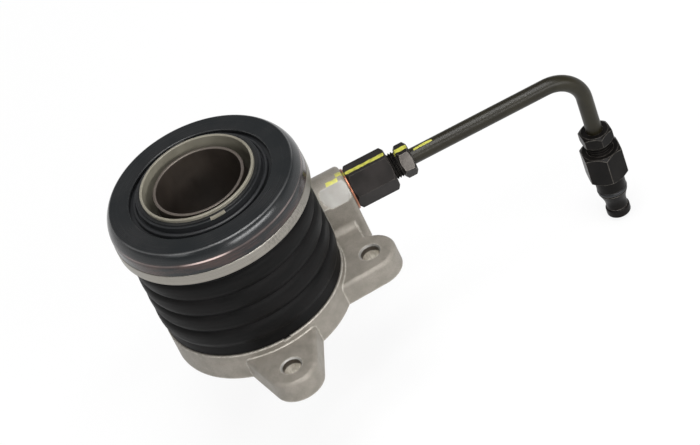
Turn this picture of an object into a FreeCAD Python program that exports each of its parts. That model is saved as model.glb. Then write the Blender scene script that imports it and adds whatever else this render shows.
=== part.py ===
"""Clutch release bearing on a ring-shaped slave cylinder, with its pressure pipe.

The frame: origin on the bore axis at the gearbox face of the housing, +Z towards
the clutch, +X along the pressure pipe. Everything is in millimetres, and the
bearing stands at the outer end of its stroke.
"""
import FreeCAD, Part
import math
import os
import Sketcher

DOCUMENT = FreeCAD.newDocument("release_bearing")
NEAR = 0.001        # how closely an edge has to match the place it is looked for

# Driving dimensions: alias, value, what it sets. Angles are in degrees.
ROWS = [
    # Cast housing
    ("base_step", 8.3, "round base outside the ring-shaped cylinder"),
    ("rim_height", 11.0, "top of the thin rim round the boot"),
    ("rim_wall", 1.1, "thickness of that rim"),
    ("floor_drop", 3.0, "floor on which spring and boot stand, below the rim"),
    ("ear_height", 8.5, "top face of the ears"),
    ("ear_round", 1.5, "rounding of the ears' top edges"),
    ("ear_end_radius", 9.3, "rounded end of an ear"),
    ("ear_taper", 16.0, "lean of each ear flank"),
    ("ear_sink", 5.5, "how far an ear runs into the base"),
    ("ear_hole_radius", 3.5, "screw hole in an ear"),
    ("ear_hole_chamfer", 0.5, "chamfer at the mouth of that hole"),
    ("ear_one_angle", -91.0, "direction of the first ear"),
    ("ear_one_reach", 44.5, "its hole from the bore axis"),
    ("ear_two_angle", -12.8, "direction of the second ear"),
    ("ear_two_reach", 42.9, "its hole from the bore axis"),
    ("ear_three_angle", 116.0, "direction of the third ear"),
    ("ear_three_reach", 44.0, "its hole from the bore axis"),
    ("notch_offset", 2.3, "vent notch in the rim, sideways from the axis"),
    ("notch_width", 2.4, "width of that notch"),
    ("notch_depth", 1.5, "depth of that notch below the rim"),
    ("chamber_width", 5.15, "radial width of the ring-shaped cylinder"),
    ("cylinder_wall", 3.2, "its wall"),
    ("cylinder_height", 30.0, "top of that wall"),
    ("chamber_floor", 4.6, "bottom of the pressure chamber"),
    ("wiper_width", 1.8, "radial width of the wiper seal"),
    ("wiper_height", 2.0, "height of the wiper seal"),
    ("wiper_bevel", 0.6, "bevel inside its mouth"),
    # Pressure port
    ("port_offset", 17.3, "port axis, sideways from the bore axis"),
    ("port_height", 16.4, "port axis above the gearbox face"),
    ("port_bore_radius", 5.0, "threaded bore of the port"),
    ("port_depth", 8.4, "depth of that bore"),
    ("oilway_radius", 1.1, "drilled way from port to chamber"),
    ("oilway_lift", 0.2, "that way above the chamber floor"),
    ("oilway_inset", 6.4, "upright part of that way, behind the boss face"),
    ("boss_radius", 9.6, "round top of the port boss"),
    ("boss_face", 46.0, "machined end face of the boss"),
    ("boss_sink", 7.5, "how far the boss runs into the base"),
    ("spot_radius", 5.4, "spot face on the sloping shoulder of the boss"),
    ("spot_depth", 0.55, "depth of that spot face"),
    ("spot_inset", 5.3, "its centre behind the boss face"),
    ("boss_round", 1.6, "rounding round the end face of the boss"),
    ("web_inset", 3.4, "end of the web to the second ear, behind the boss face"),
    ("web_front", -4.0, "where that web starts in the second ear"),
    ("web_fillet", 2.5, "fillet between web and boss"),
    # Guide tube and its seals
    ("tube_bore", 15.75, "inside radius of the guide tube"),
    ("tube_wall", 1.1, "its wall"),
    ("tube_height", 64.4, "its top end"),
    ("tube_flange", 4.65, "radial width of its flange in the gearbox face"),
    ("tube_flange_wall", 1.4, "thickness of that flange"),
    ("ring_cord", 2.0, "thickness of the tube's O-ring"),
    ("stop_ring_reach", 1.65, "how far the stop ring stands out of the tube"),
    ("stop_ring_height", 1.2, "thickness of the stop ring"),
    ("stop_ring_seat", 0.4, "depth of its groove in the tube"),
    # Piston
    ("stroke", 16.0, "travel of the piston"),
    ("running_gap", 0.05, "radial running clearance of sliding fits"),
    ("end_gap", 0.6, "room left under the seal when pushed home"),
    ("seal_height", 4.0, "height of the piston seal"),
    ("seal_lip", 1.0, "height of that seal's lips"),
    ("piston_step", 3.9, "top of its thick part, below the carrier"),
    ("stop_gap", 0.1, "room between piston and stop ring"),
    ("nose_inset", 0.9, "thin piston nose inside the cylinder's bore"),
    ("nose_wall", 1.0, "its wall"),
    ("nose_reach", 3.3, "its top end above the thrust face"),
    ("collar_reach", 2.9, "collar of the piston under the carrier, outside the nose"),
    ("collar_wall", 1.2, "thickness of that collar"),
    # Bearing carrier, centring washer and clip
    ("carrier_height", 47.9, "underside of the bearing carrier"),
    ("carrier_wall", 1.4, "sheet thickness of the carrier"),
    ("fit_gap", 0.05, "clearance of pieces slipped over the nose"),
    ("washer_wall", 0.5, "thickness of the centring washer"),
    ("washer_rise", 0.8, "overall height of the centring washer"),
    ("washer_width", 4.6, "radial width of the centring washer"),
    ("clip_seat", 0.4, "depth of the clip's groove in the nose"),
    ("clip_wall", 0.6, "thickness of the retaining clip"),
    ("clip_ring", 1.2, "width of the clip between its tabs"),
    ("clip_reach", 2.4, "how far its tabs stand out of the nose"),
    ("clip_tab_angle", 14.0, "width of a tab"),
    ("clip_tab_count", 2, "number of tabs"),
    ("clip_turn", -88.5, "direction of the first tab"),
    # Ball bearing
    ("inner_play", 0.8, "room round the nose in which the inner ring may float"),
    ("inner_wall", 6.0, "inner ring from its bore to its shoulder"),
    ("inner_height", 10.5, "height of the inner ring"),
    ("ball_radius", 3.0, "bearing ball"),
    ("ball_count", 20, "number of balls"),
    ("race_gap", 0.1, "clearance between ball and raceway"),
    ("race_shoulder", 1.4, "shoulder of each ring from the ball circle"),
    ("cage_half_wall", 0.8, "half the radial thickness of the cage"),
    ("cage_gap", 0.2, "clearance between ball and cage pocket"),
    ("cage_skirt", 2.75, "cage below the ball centres"),
    ("cage_rim", 4.6, "cage above the ball centres"),
    ("outer_wall", 5.6, "outer ring from its shoulder to the ground band"),
    ("band_height", 4.2, "height of that band"),
    ("rear_seal_lift", 0.2, "rear seal above the ring's end"),
    ("rear_seal_height", 1.4, "height of the rear seal"),
    ("rear_seal_gap", 0.2, "clearance of its lip"),
    ("shield_inset", 0.1, "front shield from the inner ring's bore"),
    ("shield_width", 3.9, "radial width of the front shield"),
    ("shield_height", 2.3, "height of the front shield"),
    ("shield_slope", 1.0, "bevel of the front shield"),
    ("shield_collar_height", 1.7, "collar of the shield that stands up to the clip"),
    ("shield_collar_width", 1.2, "radial width of that collar"),
    ("shield_lip", 0.6, "thickness of its lip out to the ring's shoulder"),
    # Pressed thrust cover
    ("cover_inset", 0.15, "cover inside the ground band"),
    ("cover_wall", 1.2, "sheet thickness of the cover"),
    ("face_rise", 0.1, "thrust face above the front shield"),
    ("face_gap", 0.5, "flat face outside the front shield"),
    ("crown_bevel", 0.9, "bevel outside the flat face, as high as it is wide"),
    ("crown_inset", 1.65, "foot of that bevel inside the cover's side"),
    ("shoulder_drop", 3.8, "where the side turns in, below the face"),
    ("cover_round", 0.9, "rounding of the cover's edges"),
    # Dust boot and preload spring
    ("boot_inset", 0.5, "groove of a fold inside the base radius"),
    ("boot_wall", 1.3, "rubber thickness"),
    ("boot_fold_depth", 1.0, "height of a fold"),
    ("boot_fold_count", 4, "number of folds"),
    ("boot_fold_lift", 4.6, "lowest groove above the rim"),
    ("boot_fold_drop", 1.2, "highest groove below the carrier"),
    ("boot_foot_width", 1.8, "foot of the boot inside the rim"),
    ("boot_foot_drop", 0.8, "where the foot turns out, below the rim's top"),
    ("boot_head", 1.7, "height of the boot above the carrier's underside"),
    ("boot_lip", 1.2, "lip that grips under the carrier"),
    ("boot_head_inset", 0.2, "head of the boot inside its folds"),
    ("soft_gap", 0.3, "room round the boot, the spring and the tube's flange"),
    ("boss_gap", 1.0, "room between folds and boss"),
    ("spring_inset", 4.6, "middle of the preload spring's wire inside the folds"),
    ("wire_radius", 1.3, "its wire"),
    ("spring_turns", 5.5, "number of turns"),
    # Port fittings, along +X
    ("seal_washer_wall", 0.8, "copper washer"),
    ("seal_washer_radius", 7.8, "its outside"),
    ("adaptor_flats", 14.3, "adaptor across flats"),
    ("adaptor_length", 16.0, "its hexagon"),
    ("adaptor_turn", 22.5, "turn of its hexagon"),
    ("adaptor_spigot", 7.6, "threaded spigot in the port"),
    ("thread_radius", 5.0, "M10 x 1 threads"),
    ("thread_gap", 0.05, "clearance of the threads"),
    ("thread_lead", 0.7, "chamfer at the start of a thread"),
    ("nut_flats", 11.1, "pipe nut across flats"),
    ("nut_length", 5.1, "its hexagon"),
    ("nut_stand_off", 3.1, "thread that shows under the nut"),
    ("nut_engaged", 9.0, "thread inside the adaptor"),
    ("nut_turn", 29.0, "turn of its hexagon"),
    ("hex_chamfer", 1.3, "chamfer at the ends of a hexagon, inward from its corners"),
    ("hex_bevel", 1.0, "length of that chamfer"),
    # Pressure pipe
    ("pipe_radius", 3.0, "outside of the pipe"),
    ("pipe_wall", 0.9, "its wall"),
    ("pipe_gap", 0.05, "clearance in the nuts"),
    ("flare_radius", 4.3, "flared end of the pipe"),
    ("flare_length", 1.8, "length of the flare"),
    ("pipe_corner", 136.5, "where the two legs would meet"),
    ("bend_radius", 11.3, "centre line of the bend"),
    ("bend_angle", 95.2, "how far the pipe turns"),
    # Lower fittings, along the second leg from the corner
    ("line_nut_start", 27.7, "face of the lower nut"),
    ("line_nut_turn", 27.0, "turn of its hexagon"),
    ("line_stand_off", 3.6, "thread that shows under that nut"),
    ("line_flats", 14.0, "lower adaptor across flats"),
    ("line_hex_length", 12.2, "hexagon of the lower adaptor"),
    ("line_hex_turn", 33.0, "turn of that hexagon"),
    ("collar_length", 8.45, "round collar below the hexagon"),
    ("line_collar_radius", 5.45, "its radius"),
    ("groove_inset", 1.5, "depth of the O-ring groove"),
    ("groove_cord", 1.65, "thickness of its O-ring"),
    ("collar_lead", 0.375, "bevel at the end of the collar"),
    ("groove_length", 1.9, "length of the O-ring groove"),
    ("groove_back", 0.9, "collar left below the groove"),
    ("neck_radius", 3.9, "neck of the plug-in end"),
    ("neck_taper", 3.2, "length of the taper to the neck"),
    ("neck_length", 3.05, "length of the neck"),
    ("nose_lead", 0.45, "how much the end is smaller than the neck"),
    ("bead_radius", 4.45, "bead at the end"),
    ("bead_length", 4.0, "length of the bead"),
    ("bead_slope", 0.9, "bevels of the bead"),
    ("line_bore", 1.6, "way through the fittings"),
]


def make_sheet(rows):
    """The spreadsheet that holds the driving dimensions."""
    sheet = DOCUMENT.addObject("Spreadsheet::Sheet", "Sizes")
    for number, (alias, value, note) in enumerate(rows, 1):
        sheet.set(f"A{number}", alias)
        sheet.set(f"B{number}", str(value))
        sheet.set(f"C{number}", note)
        sheet.setAlias(f"B{number}", alias)
    return sheet


class Size:
    """A length or an angle: its number, and the formula that gives it from the sheet."""

    def __init__(self, value, formula=None):
        self.value = value
        self.formula = formula if formula is not None else repr(value)

    def _join(self, sign, other, value):
        return Size(value, f"({self.formula} {sign} {other.formula})")

    def __add__(self, other):
        other = as_size(other)
        return self._join("+", other, self.value + other.value)

    def __sub__(self, other):
        other = as_size(other)
        return self._join("-", other, self.value - other.value)

    def __mul__(self, other):
        other = as_size(other)
        return self._join("*", other, self.value * other.value)

    def __truediv__(self, other):
        other = as_size(other)
        return self._join("/", other, self.value / other.value)

    def __rsub__(self, other):
        return as_size(other) - self

    def __rtruediv__(self, other):
        return as_size(other) / self

    def __neg__(self):
        return as_size(0.0) - self

    __radd__ = __add__
    __rmul__ = __mul__


def as_size(thing):
    return thing if isinstance(thing, Size) else Size(float(thing))


def sine(angle):
    angle = as_size(angle)
    return Size(math.sin(math.radians(angle.value)), f"sin({angle.formula} * 1 deg)")


def cosine(angle):
    angle = as_size(angle)
    return Size(math.cos(math.radians(angle.value)), f"cos({angle.formula} * 1 deg)")


def tangent(angle):
    angle = as_size(angle)
    return Size(math.tan(math.radians(angle.value)), f"tan({angle.formula} * 1 deg)")


def leg(slant, other):
    """The third side of a right triangle."""
    square = slant * slant - other * other
    return Size(math.sqrt(square.value), f"sqrt({square.formula})")


class Sheet:
    """Gives each driving dimension as a Size: sheet.name."""

    def __init__(self, sheet, rows):
        for alias, value, _ in rows:
            setattr(self, alias, Size(float(value), f"{sheet.Name}.{alias}"))


SHEET = make_sheet(ROWS)
DOCUMENT.recompute()
s = Sheet(SHEET, ROWS)
PIECES = {}         # node name -> the object that is written under that name


def bind(thing, **sizes):
    """Set properties of an object from the sheet."""
    for name, size in sizes.items():
        thing.setExpression(name, as_size(size).formula)


def place(thing, x=0.0, y=0.0, z=0.0, axis=None, angle=0.0):
    """Put an object somewhere, turned about an axis, all from the sheet."""
    turn = FreeCAD.Rotation(FreeCAD.Vector(*(axis or (0, 0, 1))), as_size(angle).value)
    spot = FreeCAD.Vector(*(as_size(part).value for part in (x, y, z)))
    thing.Placement = FreeCAD.Placement(spot, turn)
    for name, size in zip("xyz", (x, y, z)):
        thing.setExpression(f"Placement.Base.{name}", as_size(size).formula)
    if axis:
        thing.setExpression("Placement.Rotation.Angle", as_size(angle).formula)
    return thing


def arc_between(start, stop, radius, side):
    """The short arc from start to stop; its centre lies left (side 1) or right (side -1)."""
    chord = stop - start
    half = chord.Length / 2
    across = FreeCAD.Vector(-chord.y, chord.x, 0).normalize()
    rise = math.sqrt(max(radius * radius - half * half, 0.0))
    centre = (start + stop) * 0.5 + across * (side * rise)
    first, last = (start, stop) if side > 0 else (stop, start)
    angles = [math.atan2(p.y - centre.y, p.x - centre.x) for p in (first, last)]
    circle = Part.Circle(centre, FreeCAD.Vector(0, 0, 1), radius)
    return Part.ArcOfCircle(circle, angles[0], angles[1])


def draw(sketch, outline, closed=True):
    """Draw corners (across, up) joined by lines; a corner with (radius, side) starts an arc.

    Every corner and every radius is bound to its formula.
    """
    corners = [FreeCAD.Vector(as_size(c[0]).value, as_size(c[1]).value, 0) for c in outline]
    count = len(outline)
    last = None
    first = None
    for number in range(count if closed else count - 1):
        start, stop = corners[number], corners[(number + 1) % count]
        entry = outline[number]
        if len(entry) == 2:
            curve = sketch.addGeometry(Part.LineSegment(start, stop), False)
            begin, end = (curve, 1), (curve, 2)
        else:
            radius, side = as_size(entry[2]), entry[3]
            curve = sketch.addGeometry(arc_between(start, stop, radius.value, side), False)
            begin, end = ((curve, 1), (curve, 2)) if side > 0 else ((curve, 2), (curve, 1))
            tie(sketch, f"radius{number}", radius, "Radius", curve)
        if last:
            sketch.addConstraint(Sketcher.Constraint("Coincident", *last, *begin))
        pin(sketch, number, begin, entry)
        first = first or begin
        last = end
    if closed:
        sketch.addConstraint(Sketcher.Constraint("Coincident", *last, *first))
    else:
        pin(sketch, count - 1, last, outline[-1])


def pin(sketch, number, point, entry):
    """Hold one corner of an outline at its two coordinates."""
    tie(sketch, f"across{number}", as_size(entry[0]), "DistanceX", -1, 1, *point)
    tie(sketch, f"up{number}", as_size(entry[1]), "DistanceY", -1, 1, *point)


def tie(sketch, name, size, kind, *where):
    number = sketch.addConstraint(Sketcher.Constraint(kind, *where, size.value))
    sketch.renameConstraint(number, name)
    sketch.setExpression(f"Constraints.{name}", size.formula)


def body_sketch(body, name, plane, outline, closed=True):
    """A sketch on one of a body's own origin planes."""
    sketch = body.newObject("Sketcher::SketchObject", name)
    base = next(f for f in body.Origin.OriginFeatures if f.Role == plane)
    sketch.AttachmentSupport = (base, [""])
    sketch.MapMode = "FlatFace"
    draw(sketch, outline, closed)
    return sketch


def loose_sketch(name, outline, closed=True, upright=True):
    """A sketch for Part features, in the XZ plane or, not upright, in the XY plane."""
    sketch = DOCUMENT.addObject("Sketcher::SketchObject", name)
    draw(sketch, outline, closed)
    if upright:
        turn = FreeCAD.Rotation(FreeCAD.Vector(1, 0, 0), 90)
        sketch.Placement = FreeCAD.Placement(FreeCAD.Vector(), turn)
    return sketch


def turned(node, outline, along="Z"):
    """A turned or moulded ring: one outline spun about the Z or the X axis."""
    body = DOCUMENT.addObject("PartDesign::Body", node)
    sketch = body_sketch(body, f"{node}_outline", "XZ_Plane", outline)
    spin = body.newObject("PartDesign::Revolution", f"{node}_spin")
    spin.Profile = sketch
    spin.ReferenceAxis = (sketch, ["V_Axis" if along == "Z" else "H_Axis"])
    spin.Angle = 360.0
    sketch.Visibility = False
    DOCUMENT.recompute()
    return body


def spun(name, outline, along="Z"):
    """The same as a Part feature, for pieces that booleans finish."""
    sketch = loose_sketch(f"{name}_outline", outline)
    spin = DOCUMENT.addObject("Part::Revolution", name)
    spin.Source = sketch
    spin.Axis = (0, 0, 1) if along == "Z" else (1, 0, 0)
    spin.Angle = 360.0
    spin.Solid = True
    return spin


def rounded(body, name, size, rings):
    """Round the circular edges of a body that lie at the given radius and height."""
    tip = body.Tip
    names = []
    for number, edge in enumerate(tip.Shape.Edges, 1):
        if not isinstance(edge.Curve, Part.Circle):
            continue
        for radius, height in rings:
            same_radius = abs(edge.Curve.Radius - as_size(radius).value) < NEAR
            if same_radius and abs(edge.Curve.Center.z - as_size(height).value) < NEAR:
                names.append(f"Edge{number}")
    fillet = body.newObject("PartDesign::Fillet", name)
    fillet.Base = (tip, names)
    bind(fillet, Radius=size)
    DOCUMENT.recompute()
    return body


def cut(name, base, *tools):
    """Take tools away from a base, one after another."""
    for number, tool in enumerate(tools, 1):
        step = DOCUMENT.addObject("Part::Cut", name if number == len(tools) else f"{name}_{number}")
        step.Base = base
        step.Tool = tool
        base = step
    return base


def keep(node, thing):
    """Give a finished piece its node name."""
    thing.Label = node
    PIECES[node] = thing
    return thing


# Places that several pieces share
TUBE_OUTER = s.tube_bore + s.tube_wall
FLANGE_RADIUS = TUBE_OUTER + s.tube_flange
CYLINDER_RADIUS = TUBE_OUTER + s.chamber_width
CYLINDER_OUTER = CYLINDER_RADIUS + s.cylinder_wall
BASE_RADIUS = CYLINDER_OUTER + s.base_step
NOSE_RADIUS = CYLINDER_RADIUS - s.nose_inset
COLLAR_RADIUS = NOSE_RADIUS + s.collar_reach
RIM_INNER = BASE_RADIUS - s.rim_wall
SEAL_BOTTOM = s.chamber_floor + s.stroke + s.end_gap
PISTON_BOTTOM = SEAL_BOTTOM + s.seal_height
PISTON_TOP = s.carrier_height - s.piston_step
CARRIER_TOP = s.carrier_height + s.carrier_wall
RING_BASE = CARRIER_TOP + s.washer_rise
BALL_HEIGHT = RING_BASE + s.inner_height / 2
INNER_TOP = RING_BASE + s.inner_height
SHIELD_TOP = INNER_TOP + s.shield_height
CLIP_LOW = SHIELD_TOP + s.shield_collar_height
SHIELD_INNER = NOSE_RADIUS + s.inner_play + s.shield_inset
SHIELD_OUTER = SHIELD_INNER + s.shield_width
INNER_SHOULDER = NOSE_RADIUS + s.inner_play + s.inner_wall
PITCH_RADIUS = INNER_SHOULDER + s.race_shoulder
OUTER_SHOULDER = PITCH_RADIUS + s.race_shoulder
BAND_RADIUS = OUTER_SHOULDER + s.outer_wall
FACE_HEIGHT = SHIELD_TOP + s.face_rise
COVER_OUTER = BAND_RADIUS - s.cover_inset
COVER_SHOULDER = FACE_HEIGHT - s.shoulder_drop
CROWN_RADIUS = COVER_OUTER - s.crown_inset
BOOT_GROOVE = BASE_RADIUS - s.boot_inset
CARRIER_RADIUS = BOOT_GROOVE - s.boot_wall + s.boot_fold_depth / 2
FLOOR_HEIGHT = s.rim_height - s.floor_drop
EAR_ROOT = BASE_RADIUS - s.ear_sink
BOSS_ROOT = BASE_RADIUS - s.boss_sink
BOSS_FRONT = s.port_offset - s.boss_radius
BOSS_TOP = s.port_height + s.boss_radius
LEG_TANGENT = s.bend_radius * tangent(s.bend_angle / 2)


def ear(name, angle, reach):
    """One ear: a rounded end with two flanks that lean outwards to the base."""
    side = s.ear_end_radius * cosine(s.ear_taper)
    shoulder = reach + s.ear_end_radius * sine(s.ear_taper)
    foot = side + (shoulder - EAR_ROOT) * tangent(s.ear_taper)
    outline = [
        (EAR_ROOT, -foot),
        (shoulder, -side, s.ear_end_radius, 1),
        (reach + s.ear_end_radius, 0.0, s.ear_end_radius, 1),
        (shoulder, side),
        (EAR_ROOT, foot),
    ]
    sketch = loose_sketch(f"{name}_outline", outline, upright=False)
    block = DOCUMENT.addObject("Part::Extrusion", f"{name}_block")
    block.Base = sketch
    block.DirMode = "Custom"
    block.Dir = (0, 0, 1)
    block.Solid = True
    bind(block, LengthFwd=s.ear_height)
    DOCUMENT.recompute()
    edges = []
    for number, edge in enumerate(block.Shape.Edges, 1):
        box = edge.BoundBox
        on_top = box.ZMin > s.ear_height.value - NEAR
        if on_top and box.XMax > EAR_ROOT.value + NEAR:
            edges.append((number, s.ear_round.value, s.ear_round.value))
    soft = DOCUMENT.addObject("Part::Fillet", name)
    soft.Base = block
    soft.Edges = edges
    return place(soft, axis=(0, 0, 1), angle=angle)


def ear_hole(name, angle, reach):
    """Screw hole with a chamfered mouth, as a cutting tool."""
    wide = s.ear_hole_radius + s.ear_hole_chamfer
    outline = [
        (0.0, -s.ear_height),
        (s.ear_hole_radius, -s.ear_height),
        (s.ear_hole_radius, s.ear_height - s.ear_hole_chamfer),
        (wide, s.ear_height),
        (wide, s.ear_height * 2),
        (0.0, s.ear_height * 2),
    ]
    tool = spun(name, outline)
    return place(tool, x=reach * cosine(angle), y=reach * sine(angle))


def extruded(name, outline, start, length):
    """A block with one outline in the YZ plane, from start along +X."""
    sketch = loose_sketch(f"{name}_outline", outline, upright=False)
    turn = FreeCAD.Rotation(FreeCAD.Vector(1, 1, 1), 120)
    sketch.Placement = FreeCAD.Placement(FreeCAD.Vector(), turn)
    block = DOCUMENT.addObject("Part::Extrusion", name)
    block.Base = sketch
    block.DirMode = "Custom"
    block.Dir = (1, 0, 0)
    block.Solid = True
    bind(block, LengthFwd=length)
    return place(block, x=start)


def boss():
    """Port boss: round on top, with a sloping shoulder, an upright front and a soft end edge."""
    slope_low = s.port_height + s.boss_radius * (math.sqrt(2.0) - 1.0)
    half = s.boss_radius / math.sqrt(2.0)
    back = s.port_offset + s.boss_radius
    block = extruded("boss_block", [
        (BOSS_FRONT, 0.0),
        (BOSS_FRONT, slope_low),
        (s.port_offset - half, s.port_height + half, s.boss_radius, -1),
        (s.port_offset, BOSS_TOP, s.boss_radius, -1),
        (back, s.port_height),
        (back, 0.0),
    ], BOSS_ROOT, s.boss_face - BOSS_ROOT)
    DOCUMENT.recompute()
    edges = []
    for number, edge in enumerate(block.Shape.Edges, 1):
        box = edge.BoundBox
        if box.XMin > s.boss_face.value - NEAR and box.ZMax > NEAR:
            edges.append((number, s.boss_round.value, s.boss_round.value))
    soft = DOCUMENT.addObject("Part::Fillet", "boss")
    soft.Base = block
    soft.Edges = edges
    return soft


def web():
    """Web that joins the second ear to the foot of the boss, with a fillet up its front."""
    return extruded("web", [
        (s.web_front, 0.0),
        (s.web_front, s.ear_height),
        (BOSS_FRONT - s.web_fillet, s.ear_height, s.web_fillet, 1),
        (BOSS_FRONT, s.ear_height + s.web_fillet),
        (s.port_offset, s.ear_height + s.web_fillet),
        (s.port_offset, 0.0),
    ], BOSS_ROOT, s.boss_face - s.web_inset - BOSS_ROOT)


def drill(name, radius, length, x, y, z, axis=None, angle=0.0):
    """A drilled hole, as a cutting tool."""
    tool = DOCUMENT.addObject("Part::Cylinder", name)
    bind(tool, Radius=radius, Height=length)
    return place(tool, x, y, z, axis, angle)


def housing():
    """Die-cast housing: base with rim, ring cylinder, three ears and the port boss."""
    neck_seat = TUBE_OUTER + s.ring_cord
    wiper_outer = CYLINDER_RADIUS + s.wiper_width
    wiper_floor = s.cylinder_height - s.wiper_height
    blank = spun("housing_blank", [
        (TUBE_OUTER, s.tube_flange_wall),
        (FLANGE_RADIUS + s.soft_gap, s.tube_flange_wall),
        (FLANGE_RADIUS + s.soft_gap, 0.0),
        (BASE_RADIUS, 0.0),
        (BASE_RADIUS, s.rim_height),
        (RIM_INNER, s.rim_height),
        (RIM_INNER, FLOOR_HEIGHT),
        (CYLINDER_OUTER, FLOOR_HEIGHT),
        (CYLINDER_OUTER, s.cylinder_height),
        (wiper_outer, s.cylinder_height),
        (wiper_outer, wiper_floor),
        (CYLINDER_RADIUS, wiper_floor),
        (CYLINDER_RADIUS, s.chamber_floor),
        (neck_seat, s.chamber_floor),
        (neck_seat, s.chamber_floor - s.ring_cord),
        (TUBE_OUTER, s.chamber_floor - s.ring_cord),
    ])
    ears = [
        (s.ear_one_angle, s.ear_one_reach),
        (s.ear_two_angle, s.ear_two_reach),
        (s.ear_three_angle, s.ear_three_reach),
    ]
    solid = DOCUMENT.addObject("Part::MultiFuse", "housing_solid")
    solid.Shapes = [blank, boss(), web()] + [ear(f"ear_{n}", *e) for n, e in enumerate(ears, 1)]
    boot_room = BOOT_GROOVE + s.boot_fold_depth + s.boss_gap
    cavity = spun("boot_room", [
        (CYLINDER_OUTER, FLOOR_HEIGHT),
        (RIM_INNER, FLOOR_HEIGHT),
        (RIM_INNER, s.rim_height),
        (boot_room, s.rim_height),
        (boot_room, BOSS_TOP * 2),
        (CYLINDER_OUTER, BOSS_TOP * 2),
    ])
    notch = DOCUMENT.addObject("Part::Box", "notch")
    bind(notch, Length=s.notch_width, Width=s.rim_wall * 2, Height=s.notch_depth * 2)
    place(notch, s.notch_offset - s.notch_width / 2, -(BASE_RADIUS + s.rim_wall / 2),
          s.rim_height - s.notch_depth)
    port = drill("port_bore", s.port_bore_radius, s.port_depth * 2,
                 s.boss_face - s.port_depth, s.port_offset, s.port_height, (0, 1, 0), 90)
    oil_level = s.chamber_floor + s.oilway_lift + s.oilway_radius
    oilway_reach = s.boss_face - s.oilway_inset
    down = drill("oilway_down", s.oilway_radius, s.port_height - oil_level,
                 oilway_reach, s.port_offset, oil_level)
    chamber_edge = leg(CYLINDER_RADIUS, s.port_offset)
    along = drill("oilway_along", s.oilway_radius, oilway_reach + s.oilway_radius - chamber_edge,
                  chamber_edge, s.port_offset, oil_level, (0, 1, 0), 90)
    spot_out = (s.boss_radius - s.spot_depth) / math.sqrt(2.0)
    spot = drill("spot_face", s.spot_radius, s.boss_radius,
                 s.boss_face - s.spot_inset, s.port_offset - spot_out, s.port_height + spot_out,
                 (1, 0, 0), 45)
    holes = [ear_hole(f"ear_hole_{n}", *e) for n, e in enumerate(ears, 1)]
    keep("cylinder_housing", cut("housing", solid, cavity, notch, port, down, along, spot, *holes))


def guide_tube():
    """Drawn steel tube with a flange pressed flush into the gearbox face, and its stop ring."""
    groove = TUBE_OUTER - s.stop_ring_seat
    stop_low = PISTON_TOP + s.stop_gap
    stop_high = stop_low + s.stop_ring_height
    keep("guide_tube", turned("guide_tube", [
        (s.tube_bore, 0.0),
        (FLANGE_RADIUS, 0.0),
        (FLANGE_RADIUS, s.tube_flange_wall),
        (TUBE_OUTER, s.tube_flange_wall),
        (TUBE_OUTER, stop_low),
        (groove, stop_low),
        (groove, stop_high),
        (TUBE_OUTER, stop_high),
        (TUBE_OUTER, s.tube_height),
        (s.tube_bore, s.tube_height),
    ]))
    keep("stop_ring", turned("stop_ring", [
        (groove, stop_low),
        (TUBE_OUTER + s.stop_ring_reach, stop_low),
        (TUBE_OUTER + s.stop_ring_reach, stop_high),
        (groove, stop_high),
    ]))


def housing_seals():
    """O-ring round the foot of the tube, and the wiper at the mouth of the cylinder."""
    ring = DOCUMENT.addObject("Part::Torus", "tube_seal")
    bind(ring, Radius1=TUBE_OUTER + s.ring_cord / 2, Radius2=s.ring_cord / 2)
    keep("tube_seal", place(ring, z=s.chamber_floor - s.ring_cord / 2))
    wiper_floor = s.cylinder_height - s.wiper_height
    keep("wiper_seal", turned("wiper_seal", [
        (CYLINDER_RADIUS + s.running_gap, wiper_floor),
        (CYLINDER_RADIUS + s.wiper_width, wiper_floor),
        (CYLINDER_RADIUS + s.wiper_width, s.cylinder_height),
        (CYLINDER_RADIUS + s.wiper_bevel, s.cylinder_height),
        (CYLINDER_RADIUS + s.running_gap, s.cylinder_height - s.wiper_bevel),
    ]))


def piston():
    """Moulded ring piston with a thin nose, and its cup seal."""
    inner = TUBE_OUTER + s.running_gap
    outer = CYLINDER_RADIUS - s.running_gap
    nose_inner = NOSE_RADIUS - s.nose_wall
    clip_bottom = NOSE_RADIUS - s.clip_seat
    keep("piston", turned("piston", [
        (inner, PISTON_BOTTOM),
        (outer, PISTON_BOTTOM),
        (outer, s.carrier_height - s.collar_wall),
        (COLLAR_RADIUS, s.carrier_height - s.collar_wall),
        (COLLAR_RADIUS, s.carrier_height),
        (NOSE_RADIUS, s.carrier_height),
        (NOSE_RADIUS, CLIP_LOW),
        (clip_bottom, CLIP_LOW),
        (clip_bottom, CLIP_LOW + s.clip_wall),
        (NOSE_RADIUS, CLIP_LOW + s.clip_wall),
        (NOSE_RADIUS, FACE_HEIGHT + s.nose_reach),
        (nose_inner, FACE_HEIGHT + s.nose_reach),
        (nose_inner, PISTON_TOP),
        (inner, PISTON_TOP),
    ]))
    lip = s.seal_lip
    middle = (inner + outer) / 2
    keep("piston_seal", turned("piston_seal", [
        (inner + lip / 2, SEAL_BOTTOM),
        (middle, SEAL_BOTTOM + lip * 2),
        (outer - lip / 2, SEAL_BOTTOM),
        (outer, SEAL_BOTTOM + lip),
        (outer, PISTON_BOTTOM),
        (inner, PISTON_BOTTOM),
        (inner, SEAL_BOTTOM + lip),
    ]))


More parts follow.
